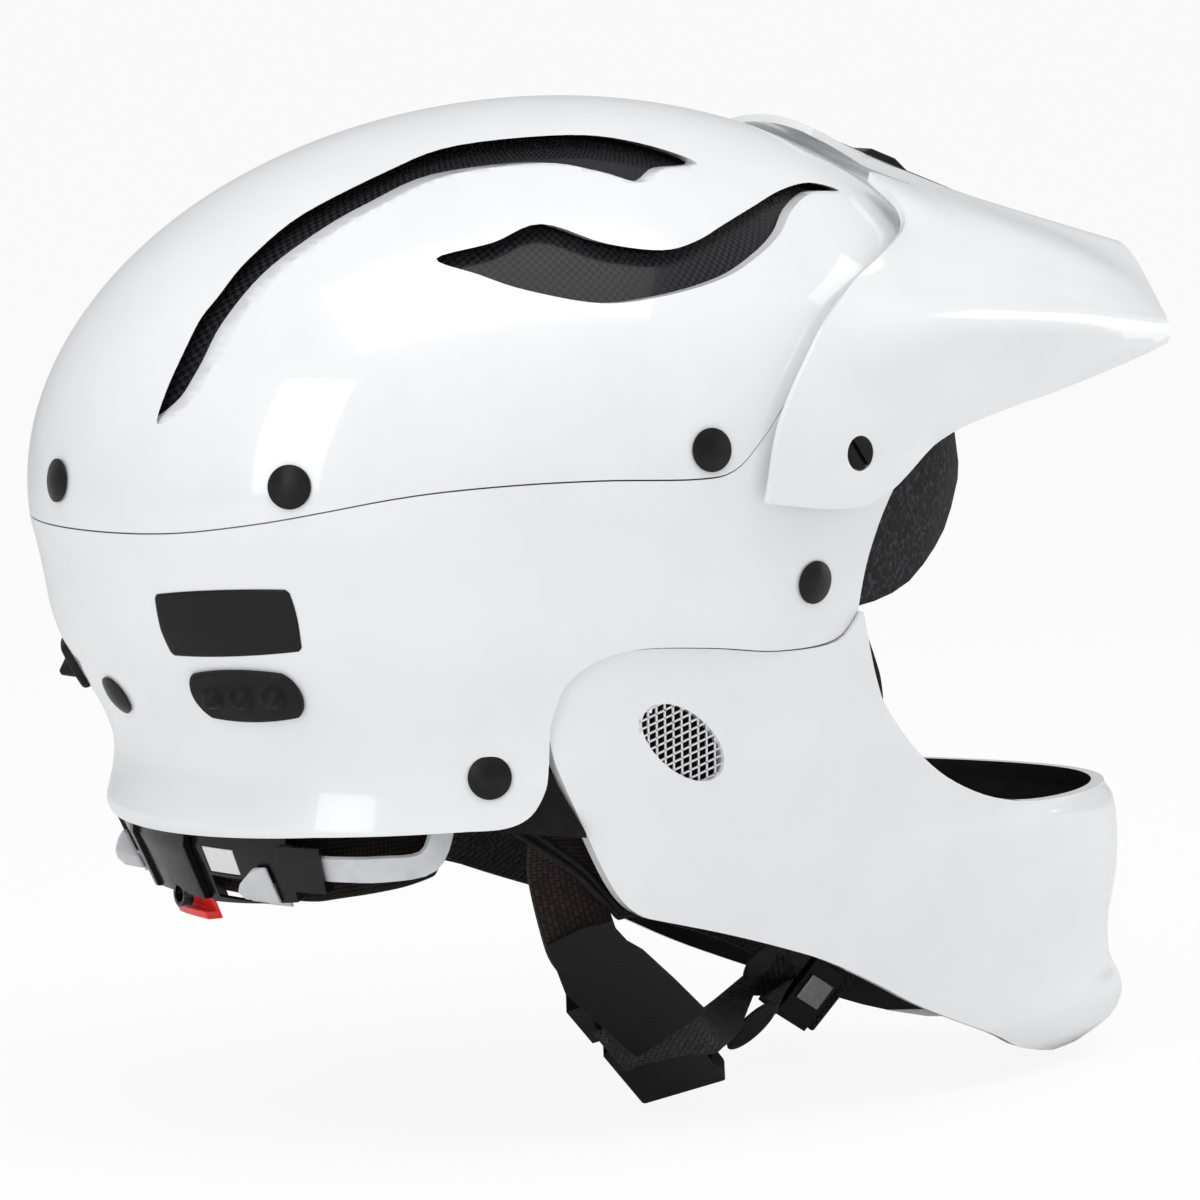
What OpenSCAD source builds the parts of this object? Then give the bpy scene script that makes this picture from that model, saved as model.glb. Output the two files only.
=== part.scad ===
// Full face paddling helmet: two-part outer shell over a carbon inner shell, chin guard, tilting
// visor, foam liners, rear cradle with slide knobs, and a chin strap with a side release buckle.
// +X is forward, +Y is the wearer's left, +Z is up. The origin is the centre of the head at
// ear-eye level.

/* [Outer shell] */
// Half length of the shell at its widest level
shell_half_len = 139; // [135:0.5:143]
// Middle of the widest section, forward of the head centre
shell_mid = 4; // [2:0.5:6]
// Half width of the shell at its widest level
shell_half_wid = 109; // [104:1:118]
// Rise of the crown above the widest level
crown_rise = 95; // [90:1:102]
// Level of the widest section above the ear-eye line
belt_z = 45; // [41:1:49]
// Forward lean of the crown
crown_lean = 12; // [6:1:18]
// Wall of the white outer shells
shell_wall = 3; // [2:0.1:3.4]

/* [Inner shell and liner] */
// Gap between the outer shell and the carbon shell
carbon_gap = 0.8; // [0.3:0.1:1.4]
// Wall of the carbon inner shell
carbon_wall = 2.4; // [1.6:0.1:3]
// Thickness of the impact foam at the sides
foam_side = 19; // [14:1:22]
// Thickness of the impact foam at front and back
foam_end = 27; // [20:1:30]
// Thickness of the impact foam at the top
foam_top = 26; // [20:1:30]

/* [Chin guard] */
// Reach of the chin guard forward of the head centre
chin_reach = 198; // [190:1:206]
// Lowest level of the chin guard
chin_low = -133; // [-137:1:-127]
// Wall of the chin guard
chin_wall = 3.5; // [2.5:0.1:5]
// Long half axis of the mesh port
port_long = 14.5; // [11:0.5:17]
// Short half axis of the mesh port
port_short = 7; // [6:0.2:10]

/* [Visor] */
// Wall of the visor
visor_wall = 2.2; // [1.6:0.1:2.8]
// Running gap between the visor arms and the shell
visor_gap = 1.2; // [0.8:0.1:1.6]
// Visor screw axis, forward of the head centre
pivot_x = 46; // [42:1:50]
// Visor screw axis, above the ear-eye line
pivot_z = 48; // [45:1:51]
// Shank radius of the visor screw
screw_r = 2.5; // [2:0.1:3]
// Head radius of the visor screw
screw_head_r = 4.3; // [3.8:0.1:4.6]

/* [Rivets] */
// Radius of a rivet cap
rivet_cap_r = 5.8; // [4.5:0.1:6.6]
// Height of a rivet cap
rivet_cap_h = 1.6; // [1.2:0.1:2.2]
// Radius of a rivet shank
rivet_r = 2.4; // [1.8:0.1:3]

/* [Rear cradle] */
// Room between the shell's half width and the cradle housing
cradle_side_room = 12; // [7:1:17]
// Room between the shell's rear wall and the cradle housing
cradle_rear_room = 3; // [2:0.1:5]
// Wall of the cradle housing
cradle_wall = 3; // [2.4:0.1:4]
// Height of the cradle housing
cradle_h = 27; // [24:1:30]
// Height of the grey bands
band_h = 7; // [5:0.5:9]
// Wall of the grey bands
band_wall = 1.6; // [1.2:0.1:2]
// Travel of the slide knobs
knob_travel = 8; // [5:1:9]

/* [Chin strap] */
// Width of the webbing
web_w = 20; // [18:1:22]
// Thickness of the webbing
web_t = 1.6; // [1.2:0.1:2]
// Length of the buckle socket
socket_len = 27; // [24:1:32]

/* [Hidden] */

gap = 0.3;
pin_play = 0.1;
fine = 64;

// Smooth curve through the points p, with n steps between each two
function pick(p, i) = p[max(0, min(len(p) - 1, i))];
function mid_curve(a, b, c, d, u) =
  0.5 * (2*b + (c - a)*u + (2*a - 5*b + 4*c - d)*u*u + (3*b - a - 3*c + d)*u*u*u);
function smooth(p, n) = concat(
  [for (i = [0:len(p) - 2], k = [0:n - 1]) mid_curve(pick(p, i - 1), p[i], p[i + 1], pick(p, i + 2), k/n)],
  [p[len(p) - 1]]);
function smooth_loop(p, n) = let (m = len(p))
  [for (i = [0:m - 1], k = [0:n - 1])
    mid_curve(p[(i + m - 1) % m], p[i], p[(i + 1) % m], p[(i + 2) % m], k/n)];
function unit(v) = v / norm(v);

// The outer skin. Above the skirt it is a leaning ellipsoid, below it the nape draws in and flares
// out again. t is the plan angle from the front, z the level, off the depth under the skin.
skirt_drop = 17;
nape_z = belt_z - 102;
nape_profile = [
  [skirt_drop, 0.984], [28, 0.963], [42, 0.942], [50, 0.92], [62, 0.868], [70, 0.833],
  [78, 0.811], [85, 0.811], [91, 0.82], [95, 0.826], [98, 0.819], [102, 0.798]
];
side_share = 0.6;
function on_crown(z) = z > belt_z - skirt_drop;
function arch(z, off) = sqrt(max(0, 1 - pow((z - belt_z)/(crown_rise - off), 2)));
function draw_in(z) = lookup(belt_z - z, nape_profile);
function lean(z) = shell_mid + crown_lean*max(z - belt_z, -skirt_drop)/crown_rise;
function half_len(z, off) = on_crown(z)
  ? (shell_half_len - off)*arch(z, off)
  : shell_half_len*draw_in(z) - off;
function half_wid(z, off) = on_crown(z)
  ? (shell_half_wid - off)*arch(z, off)
  : shell_half_wid*(nape_profile[0][1] - side_share*(nape_profile[0][1] - draw_in(z))) - off;
function skin(t, z, off) = [lean(z) + half_len(z, off)*cos(t), half_wid(z, off)*sin(t), z];
function skin_z(x, y, off) = let (
    a = shell_half_len - off,
    k = 1 + pow(crown_lean/a, 2),
    m = (x - shell_mid)*crown_lean/(a*a),
    r = pow((x - shell_mid)/a, 2) + pow(y/(shell_half_wid - off), 2) - 1)
  belt_z + (crown_rise - off)*(m + sqrt(m*m - k*r))/k;
function skin_y(x, z, off) =
  half_wid(z, off)*sqrt(max(0, 1 - pow((x - lean(z))/half_len(z, off), 2)));
function skin_normal(t, z) = unit(cross(
  skin(t + 1, z, 0) - skin(t - 1, z, 0), skin(t, z + 1, 0) - skin(t, z - 1, 0)));
function side_angle(x, z) = acos((x - lean(z))/half_len(z, 0));

// Seams, edges and slots of the shells, drawn on the side view as [x, z]
slot_steps = 2;
seam = [
  [-150, 27.5], [-128, 28.5], [-111, 32], [-81, 39.5], [-57, 42.5], [-31, 43.5], [-3, 43], [8, 45],
  [17, 53], [28, 64], [48, 75], [75, 79], [110, 80], [155, 80]
];
brow_edge = [[155, 63], [125, 62], [100, 60], [78, 52], [65, 38], [57, 20], [54, 5]];
chin_seam = [
  [54, 5], [46, -2.5], [26, -4], [6, -2], [-13, -1], [-23, -2], [-31, -5], [-36.5, -11], [-38.3, -21]
];
chin_seam_line = smooth(chin_seam, slot_steps);
ear_notch = [[-37.4, -31], [-38, -38], [-42, -44.8], [-48.5, -48], [-58, -48.7]];
nape_edge = [[-58, -48.7], [-90, -51], [-120, -54.6], [-155, -58]];
eye_edge = [
  [54, 5], [58, -6], [62, -15], [67, -23], [80, -36], [97, -46.5], [120, -54], [150, -57], [215, -58]
];
chin_edge = [
  [215, -142], [150, -131], [125, -122], [95, -110.5], [76, -101.5], [57, -93], [39, -87], [20, -81.5],
  [3, -77.2], [-4, -75.5]
];
chin_back = [[-4, -75.5], [-10.5, -72], [-17, -64.5], [-25.5, -50], [-34.8, -32.5], [-38.3, -21]];
long_slot_top = [
  [-124.8, 58.2], [-120.6, 69], [-112.6, 82.4], [-106, 90.2], [-95.8, 100.2], [-79.6, 111.6], [-56, 122.4],
  [-35, 129], [-6, 131.5], [11, 129.4], [24, 124]
];
long_slot_low = [
  [12, 122.8], [2.5, 119.5], [-7, 122.4], [-20, 124.6], [-44.6, 121.6], [-63.7, 114.3], [-79, 106.4],
  [-93.8, 96.2], [-106, 83.8], [-114, 71.8], [-119, 64]
];
s_slot_top = [
  [-60, 101], [-45, 105], [-31, 109.5], [-17, 104.5], [-2, 102.5], [9, 104.5], [20, 108.5],
  [32, 112.5], [46, 116.5], [60, 118], [71, 115.5]
];
s_slot_low = [
  [58, 115.5], [46, 111.5], [37, 105.5], [26, 100], [13, 95], [-6, 91], [-24, 89.5], [-42, 93], [-52, 97]
];
reach = 260;

module side_prism(outline, from = -reach/2, to = reach/2)
  rotate([90, 0, 0]) translate([0, 0, -to]) linear_extrude(to - from) polygon(outline);

// Outline moved by d, for the gap at a seam
seam_gap = 0.4;
function moved(p, d) = [for (q = p) q + d];

module both_sides() {
  children();
  mirror([0, 1, 0]) children();
}

// A wall between two grids of points with the same rows and columns
module sheet(outer, inner) {
  rows = len(outer);
  cols = len(outer[0]);
  last = rows - 1;
  edge = cols - 1;
  function id(side, i, j) = (side*rows + i)*cols + j;
  function two(a, b, c, d) = [[a, b, c], [a, c, d]];
  polyhedron(
    [for (side = [outer, inner], row = side, p = row) p],
    concat(
      [for (i = [0:last - 1], j = [0:edge - 1])
        each two(id(0, i, j), id(0, i + 1, j), id(0, i + 1, j + 1), id(0, i, j + 1))],
      [for (i = [0:last - 1], j = [0:edge - 1])
        each two(id(1, i, j), id(1, i, j + 1), id(1, i + 1, j + 1), id(1, i + 1, j))],
      [for (j = [0:edge - 1]) each two(id(0, 0, j), id(0, 0, j + 1), id(1, 0, j + 1), id(1, 0, j))],
      [for (j = [0:edge - 1])
        each two(id(0, last, j + 1), id(0, last, j), id(1, last, j), id(1, last, j + 1))],
      [for (i = [0:last - 1]) each two(id(0, i + 1, 0), id(0, i, 0), id(1, i, 0), id(1, i + 1, 0))],
      [for (i = [0:last - 1])
        each two(id(0, i, edge), id(0, i + 1, edge), id(1, i + 1, edge), id(1, i, edge))]));
}

// The same with the columns closed into a ring
module ring(outer, inner) {
  rows = len(outer);
  cols = len(outer[0]);
  last = rows - 1;
  function id(side, i, j) = (side*rows + i)*cols + (j % cols);
  function two(a, b, c, d) = [[a, b, c], [a, c, d]];
  polyhedron(
    [for (side = [outer, inner], row = side, p = row) p],
    concat(
      [for (i = [0:last - 1], j = [0:cols - 1])
        each two(id(0, i, j), id(0, i + 1, j), id(0, i + 1, j + 1), id(0, i, j + 1))],
      [for (i = [0:last - 1], j = [0:cols - 1])
        each two(id(1, i, j), id(1, i, j + 1), id(1, i + 1, j + 1), id(1, i + 1, j))],
      [for (j = [0:cols - 1]) each two(id(0, 0, j), id(0, 0, j + 1), id(1, 0, j + 1), id(1, 0, j))],
      [for (j = [0:cols - 1])
        each two(id(0, last, j + 1), id(0, last, j), id(1, last, j), id(1, last, j + 1))]));
}

// Places its child on the skin, with +Z along the normal and -X up the shell
module on_skin(t, z, off = 0) {
  n = skin_normal(t, z);
  translate(skin(t, z, 0) - off*n) rotate([0, acos(n.z), atan2(n.y, n.x)]) children();
}

// A patch of the skin between depths, from angle t0 to t1 and between two level functions
module skin_patch(t0, t1, low, high, off_out, off_in, cols, rows) {
  function place(off) = [for (i = [0:rows]) [for (j = [0:cols])
    let (t = t0 + (t1 - t0)*j/cols) skin(t, low(t) + (high(t) - low(t))*i/rows, off)]];
  sheet(place(off_out), place(off_in));
}

module ellipsoid(off) multmatrix([
  [shell_half_len - off, 0, crown_lean*(crown_rise - off)/crown_rise, shell_mid],
  [0, shell_half_wid - off, 0, 0],
  [0, 0, crown_rise - off, belt_z],
  [0, 0, 0, 1]
]) sphere(1, $fn = fine);

// Rivets as [angle from the front, level]
upper_rivets = [[180, 40.5], [140, 42.6], [-140, 42.6], [91.7, 50.7], [-91.7, 50.7]];
front_rivets = [[180, -17.5], [74.9, 13.7], [-74.9, 13.7]];
strap_rivet_x = -51.94;
strap_rivet_z = -34.6;
strap_rivet_turn = side_angle(strap_rivet_x, strap_rivet_z);
strap_rivets = [[strap_rivet_turn, strap_rivet_z], [-strap_rivet_turn, strap_rivet_z]];
lower_rivets = concat(front_rivets, strap_rivets);
rivet_deep = 5.8;

module rivet_bores(places)
  for (p = places) on_skin(p[0], p[1], 12) cylinder(r = rivet_r + gap/2, h = 24, $fn = 24);

module upper_shell() color("white") difference() {
  ellipsoid(0);
  ellipsoid(shell_wall);
  side_prism(concat(moved(smooth(seam, slot_steps), [0, seam_gap]),
    [[reach, 80], [reach, -reach], [-reach, -reach], [-reach, 27]]));
  both_sides() side_prism(smooth_loop(concat(long_slot_top, long_slot_low), slot_steps), 12, reach/2);
  both_sides() side_prism(smooth_loop(concat(s_slot_top, s_slot_low), slot_steps), 12, reach/2);
  rivet_bores(upper_rivets);
}

shell_cols = 64;
lower_levels = [
  80, 70, 60, 50, 40, 28, 20, 11, 3, -5, -12, -18, -25, -33, -40, -46, -50, -53.5, -57
];

module lower_shell() color("white") difference() {
  intersection() {
    ring(
      [for (z = lower_levels) [for (j = [0:shell_cols - 1]) skin(-j*360/shell_cols, z, 0)]],
      [for (z = lower_levels) [for (j = [0:shell_cols - 1]) skin(-j*360/shell_cols, z, shell_wall)]]);
    side_prism(concat(
      smooth(seam, slot_steps), smooth(brow_edge, slot_steps), chin_seam_line,
      smooth(ear_notch, slot_steps), nape_edge));
  }
  rivet_bores(lower_rivets);
  for (p = lower_rivets) on_skin(p[0], p[1]) cylinder(r = rivet_cap_r + gap, h = 3, $fn = 48);
  both_sides() translate([pivot_x, -shell_inner_y + 5, pivot_z]) rotate([90, 0, 0])
    cylinder(r = screw_r + gap/2, h = 20, $fn = 48);
}

carbon_off = shell_wall + carbon_gap;
module carbon_shell() color("dimgray") difference() {
  ellipsoid(carbon_off);
  ellipsoid(carbon_off + carbon_wall);
  side_prism([[-reach, 32], [28, 50], [36, 67], [80, 84], [reach, 84], [reach, -reach], [-reach, -reach]]);
  rivet_bores(upper_rivets);
}

// Chin guard: superellipse sections, whose back half follows the shell's own section
chin_mid = 5;
chin_power = 1.85;
chin_levels = [8, 0, -10, -22, -34, -46, -57, -63, -73, -85, -97, -108, -115, -120, -126, -131];
chin_front = [
  [-131, -8], [-126, 1], [-120, 4], [-115, 3], [-108, -1], [-97, -2], [-85, 0], [-73, 0],
  [-63, -2], [-57, -6], [8, -6]
];
chin_side = [
  [-131, 66], [-120, 73], [-108, 77], [-85, 83], [-57, 90], [-34, 95.5], [-22, 97.5], [-5, 101.5], [8, 104]
];
function fit_low(z) = z < -57 ? -57 + (z + 57)*(chin_low + 57)/(-131 + 57) : z;
// The chin's widths and the strap's route keep in step with the shell's half width
wide_share = shell_half_wid/109;
strap_room = 17;
function at_width(y) = y*wide_share;
function strap_y(y) = at_width(y + strap_room) - strap_room;
function chin_half_wid(z) = at_width(lookup(z, chin_side));
function chin_y_at(x, z, off) = let (a = chin_reach + lookup(z, chin_front) - chin_mid - off)
  (chin_half_wid(z) - off)*pow(max(0, 1 - pow(max(0, (x - chin_mid)/a), chin_power)), 1/chin_power);
function chin_skin(t, z, off) = let (
    front = chin_reach + lookup(z, chin_front) - chin_mid - off,
    back = half_len(min(z, 8), off),
    c = cos(t),
    s = sin(t))
  c >= 0
    ? [chin_mid + front*pow(c, 2/chin_power),
       (chin_half_wid(z) - off)*sign(s)*pow(abs(s), 2/chin_power), fit_low(z)]
    : [chin_mid + back*c, (chin_half_wid(z) - off)*s, fit_low(z)];
port_x = 1.5;
port_z = -27.7;
port_tilt = 37;
port_y = chin_y_at(port_x, port_z, 0);

module port_shape(grow = 0)
  rotate(-port_tilt) scale([port_long + grow, port_short + grow]) circle(1, $fn = 48);

module chin_guard() color("white") difference() {
  intersection() {
    ring(
      [for (z = chin_levels) [for (j = [0:shell_cols - 1]) chin_skin(-j*360/shell_cols, z, 0)]],
      [for (z = chin_levels) [for (j = [0:shell_cols - 1]) chin_skin(-j*360/shell_cols, z, chin_wall)]]);
    side_prism(concat(
      smooth(chin_edge, slot_steps), smooth(chin_back, slot_steps),
      moved([for (i = [len(chin_seam_line) - 1:-1:0]) chin_seam_line[i]], [seam_gap/2, -seam_gap]),
      moved(smooth(eye_edge, slot_steps), [seam_gap/2, 0])));
  }
  both_sides() translate([port_x, 0, port_z]) rotate([90, 0, 0]) linear_extrude(reach/2) port_shape();
}

// Expanded metal mesh: a flat net of diamonds behind the port
mesh_t = 0.8;
mesh_pitch_x = 2.7;
mesh_pitch_y = 4.4;
mesh_strand = 0.5;
mesh_side = sqrt(mesh_pitch_x*mesh_pitch_x + mesh_pitch_y*mesh_pitch_y);
mesh_cell_x = mesh_pitch_x/2 - mesh_strand*mesh_side/mesh_pitch_y/2;
mesh_cell_y = mesh_pitch_y/2 - mesh_strand*mesh_side/mesh_pitch_x/2;
mesh_back = 2;
mesh_tilt = 10;

module chin_mesh() color("silver")
  translate([port_x, -(port_y - chin_wall - mesh_back), port_z]) rotate([90 + mesh_tilt, 0, 0])
    linear_extrude(mesh_t)
    difference() {
      port_shape(1.4);
      intersection() {
        port_shape(0.6);
        rotate(-port_tilt) for (i = [-12:12], j = [-5:5]) if ((i + j) % 2 == 0)
          translate([i*mesh_pitch_x/2, j*mesh_pitch_y/2]) polygon([
            [-mesh_cell_x, 0], [0, mesh_cell_y], [mesh_cell_x, 0], [0, -mesh_cell_y]]);
      }
    }

// Visor: ribs run from the rear edge to the lip, from the centre outwards, as [x, half breadth, z].
// A half breadth or a level of -1 lies over the shell.
visor_off = -(visor_gap + visor_wall);
visor_ribs = [
  [[82, 0, -1], [106, 0, 122.5], [136, 0, 111.5], [168, 0, 101], [196, 0, 91]],
  [[82, 12, -1], [106, 12, 121.5], [136, 12, 110.5], [167, 12, 100.5], [195, 12, 90.5]],
  [[83, 26, -1], [104, 26, 117.5], [133, 26, 108], [164, 26, 98], [191, 26, 88.5]],
  [[84, 52, -1], [105, 54, 108], [129, 54, 101.5], [157, 53, 92], [183, 50, 81.5]],
  [[86, 66, -1], [103, 70, 98.5], [125, 70, 92.5], [150, 68, 85.5], [177, 64, 78]],
  [[54, -1, 92], [84, 87, 89], [112, 83, 86], [143, 77.5, 81.5], [174, 71, 76.5]],
  [[37, -1, 80], [70, 99.5, 80.5], [103, 92.5, 79.5], [137, 84.5, 78], [171, 75.5, 75.5]],
  [[20, -1, 58], [58, -1, 60], [100, 92.5, 67], [137, 85, 70.5], [171, 76, 73.5]],
  [[15, -1, 36.5], [50, -1, 34.5], [78, -1, 50], [120, 88, 60.5], [170, 76.5, 71.5]]
];
visor_steps = 3;
function seat(p) = p.y < 0 ? [p.x, skin_y(p.x, p.z, visor_off), p.z]
  : p.z < 0 ? [p.x, p.y, skin_z(p.x, p.y, visor_off)] : p;
function seat_rib(r) = [for (p = r) seat(p)];
function crown_share(p, off) = norm([
  (p.x - shell_mid - crown_lean*(p.z - belt_z)/crown_rise)/(shell_half_len - off),
  p.y/(shell_half_wid - off), (p.z - belt_z)/(crown_rise - off)]);
crown_mid = [shell_mid, 0, belt_z];
function clear_of_shell(p) = crown_mid + (p - crown_mid)/min(1, crown_share(p, visor_off));
visor_half = let (along = [for (r = visor_ribs) smooth(seat_rib(r), visor_steps)])
  [for (j = [0:len(along[0]) - 1])
    [for (p = smooth([for (r = along) r[j]], visor_steps)) clear_of_shell(p)]];
visor_top = [for (row = visor_half) concat(
  [for (i = [len(row) - 1:-1:1]) [row[i].x, -row[i].y, row[i].z]], row)];
function grid_normal(g, i, j) = unit(cross(
  pick(pick(g, i), j + 1) - pick(pick(g, i), j - 1), pick(pick(g, i + 1), j) - pick(pick(g, i - 1), j)));
function sunk(g, d) = [for (i = [0:len(g) - 1]) [for (j = [0:len(g[0]) - 1]) g[i][j] - d*grid_normal(g, i, j)]];
boss_r = 8;
boss_h = 2.6;
boss_y = skin_y(pivot_x, pivot_z, visor_off);
head_h = 3;
screw_len = 14;
notch = [[70, 27], [70, 60], [85, 52], [137, 19], [132, 17]];

module visor() color("white") difference() {
  union() {
    sheet([for (i = [len(visor_top) - 1:-1:0]) visor_top[i]],
      [for (g = [sunk(visor_top, -visor_wall)], i = [len(g) - 1:-1:0]) g[i]]);
    difference() {
      both_sides() translate([pivot_x, -boss_y + 6, pivot_z]) rotate([90, 0, 0])
        cylinder(r = boss_r, h = boss_h + 6, $fn = 48);
      ellipsoid(-visor_gap - 0.4);
    }
  }
  both_sides() translate([pivot_x, -boss_y + visor_wall - 0.6, pivot_z]) rotate([90, 0, 0])
    cylinder(r = screw_head_r + 0.4, h = 10, $fn = 48);
  both_sides() translate([pivot_x, -boss_y + 10, pivot_z]) rotate([90, 0, 0])
    cylinder(r = screw_r + pin_play, h = 20, $fn = 48);
  both_sides() translate([0, 0, 95]) linear_extrude(60)
    polygon([for (p = notch) [p.x, -p.y]]);
}

// Black trim on the visor bridge: a stepped bar that follows the bridge's crown line
trim_half = 9;
trim_line = [[99, 2.2], [110, 2.2], [113, 4.2], [121, 4.2], [125, 2.2], [140, 2], [147, 1]];
function bridge_z(x) = let (row = visor_half, k = [for (r = row) r[0]], n = len(k) - 1)
  lookup(x, [for (q = k) [q.x, q.z]]);
module visor_trim() color("black") sheet(
  [for (p = trim_line) [for (y = [trim_half, 0, -trim_half]) [p.x, y, bridge_z(p.x) + p.y]]],
  [for (p = trim_line) [for (y = [trim_half, 0, -trim_half]) [p.x, y, bridge_z(p.x) + gap]]]);

insert_r = 6;
insert_wall = 2;
shell_inner_y = skin_y(pivot_x, pivot_z, shell_wall);
module visor_screws() color("black") both_sides()
  translate([pivot_x, -boss_y + visor_wall - 0.6 - gap, pivot_z]) rotate([90, 0, 0]) difference() {
    union() {
      cylinder(r = screw_head_r, h = head_h, $fn = 48);
      translate([0, 0, -screw_len]) cylinder(r = screw_r, h = screw_len + 1, $fn = 48);
    }
    rotate(35) translate([-0.6, -screw_head_r - 1, head_h - 1.4]) cube([1.2, 2*screw_head_r + 2, 2]);
  }

module visor_inserts() color("silver") both_sides()
  translate([pivot_x, -shell_inner_y + gap + 1.9 + insert_wall, pivot_z]) rotate([90, 0, 0]) difference() {
    cylinder(r = insert_r, h = insert_wall, $fn = 48);
    translate([0, 0, -1]) cylinder(r = screw_r + 0.05, h = insert_wall + 2, $fn = 48);
  }

// Rivet: a domed cap outside, a shank, and a washer inside
module rivet(p) on_skin(p[0], p[1]) {
  translate([0, 0, gap]) intersection() {
    cylinder(r = rivet_cap_r, h = rivet_cap_h, $fn = 48);
    translate([0, 0, rivet_cap_h - 14]) sphere(14, $fn = fine);
  }
  translate([0, 0, -rivet_deep]) cylinder(r = rivet_r, h = rivet_deep + 0.5, $fn = 24);
}
washer_r = 5;
washer_t = 1;
module rivets_upper() color("black") for (p = upper_rivets) rivet(p);
module rivets_lower() color("black") for (p = lower_rivets) rivet(p);
module rivet_washers() color("silver") for (p = front_rivets)
  on_skin(p[0], p[1]) translate([0, 0, -shell_wall - gap - washer_t]) difference() {
    cylinder(r = washer_r, h = washer_t, $fn = 32);
    translate([0, 0, -1]) cylinder(r = rivet_r + 0.05, h = washer_t + 2, $fn = 24);
  }

// Strap grip pad: a rubber stadium with three cones
pad_mid = 150.6;
pad_z = -13.7;
pad_half_len = 16;
pad_half_h = 6.9;
pad_t = 2.4;
cone_pitch = 8.8;
cone_r = 3.6;
cone_h = 4.6;
pad_arc = 9;
module grip_pad() color("black") union() {
  skin_patch(-pad_mid - pad_arc, -pad_mid + pad_arc,
    function (t) pad_z - pad_end(t), function (t) pad_z + pad_end(t), -pad_t, -gap/3, 16, 3);
  for (i = [-1:1]) on_skin(-pad_mid + i*cone_pitch*pad_arc/pad_half_len, pad_z, -pad_t + 0.5)
    cylinder(r1 = cone_r, r2 = 0.6, h = cone_h, $fn = 24);
}
function pad_end(t) = let (
    along = abs(t + pad_mid)*pad_half_len/pad_arc,
    over = max(0, along - (pad_half_len - pad_half_h)))
  max(1.2, sqrt(max(0, pad_half_h*pad_half_h - over*over)));

label_t = 0.5;
module side_label() color("black") skin_patch(-161, -138.5,
  function (t) -3.8, function (t) 14.2, -label_t - gap, -gap, 10, 6);

// Liners
foam_off = carbon_off + carbon_wall + gap;
cavity_len = shell_half_len - foam_off - foam_end;
cavity_wid = shell_half_wid - foam_off - foam_side;
cavity_rise = crown_rise - foam_off - foam_top;
pad_thick = 6;
module cavity(grow = 0) translate([shell_mid - 2, 0, belt_z]) {
  scale([cavity_len + grow, cavity_wid + grow, cavity_rise + grow]) sphere(1, $fn = fine);
  translate([0, 0, -120]) scale([cavity_len + grow, cavity_wid + grow, 1]) cylinder(r = 1, h = 120, $fn = fine);
}
module crown_liner() color("dimgray") difference() {
  ellipsoid(foam_off);
  cavity();
  side_prism([[-reach, 8], [-70, 8], [-40, 22], [30, 22], [38, 34], [38, 67], [reach, 67], [reach, -reach],
    [-reach, -reach]]);
}
brow_arc = 70;
brow_low = [[0, 44], [22, 34], [36, 20], [52, 8], [63, 5], [72, 5]];
brow_top = 66;
module brow_liner() color("dimgray") difference() {
  skin_patch(-brow_arc, brow_arc, function (t) lookup(abs(t), brow_low), function (t) brow_top,
    shell_wall + 1, shell_wall + 30, 28, 5);
  cavity();
  both_sides() translate([pivot_x, -shell_inner_y + 14, pivot_z]) rotate([90, 0, 0])
    cylinder(r = insert_r + gap, h = reach, $fn = 48);
}
nape_arc = 42;
module nape_liner() color("dimgray") difference() {
  skin_patch(180 - nape_arc, 180 + nape_arc, function (t) -40, function (t) 7.5,
    shell_wall + 1.6, shell_wall + 24, 16, 6);
  cavity();
  on_skin(front_rivets[0][0], front_rivets[0][1], 8) cylinder(r = washer_r + gap, h = 12, $fn = 32);
}

// Cushions: a flat backing and a crowned face whose edges draw in to a thin rim
pad_rim = 1.6;
function swell(u) = pow(max(0, 1 - pow(abs(2*u - 1), 2.6)), 0.5);
function crowned(u, v, thick) = pad_rim + (thick - pad_rim)*swell(u)*swell(v);

// A cushion on a surface given by place(u, v, depth), with u and v from 0 to 1
module cushion(place, depth, thick, cols, rows) sheet(
  [for (i = [0:rows]) [for (j = [0:cols]) place(j/cols, i/rows, depth)]],
  [for (i = [0:rows]) [for (j = [0:cols])
    place(j/cols, i/rows, depth + crowned(j/cols, i/rows, thick))]]);

crown_pad_len = 116;
crown_pad_wid = 84;
crown_pad_t = 5;
function cavity_top(x, y, grow) = belt_z + (cavity_rise + grow)*sqrt(1
  - pow((x - shell_mid + 2)/(cavity_len + grow), 2) - pow(y/(cavity_wid + grow), 2));
function crown_place(u, v, d) = let (
    x = crown_pad_len*(u - 0.5),
    y = crown_pad_wid*(v - 0.5)*sqrt(max(0.2, 1 - pow(2*u - 1, 4)*0.8)))
  [x + shell_mid, y, cavity_top(x + shell_mid, y, -d)];
module crown_pad() color("black")
  cushion(function (u, v, d) crown_place(u, v, d), gap, crown_pad_t, 16, 12);

ear_pad_t = 9;
function ear_place(u, v, d) = skin(-108 + 10.5*u, -21 + 40*v, d);
module ear_pad() color("black")
  cushion(function (u, v, d) ear_place(u, v, d), shell_wall + 4.4, ear_pad_t, 7, 10);

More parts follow.
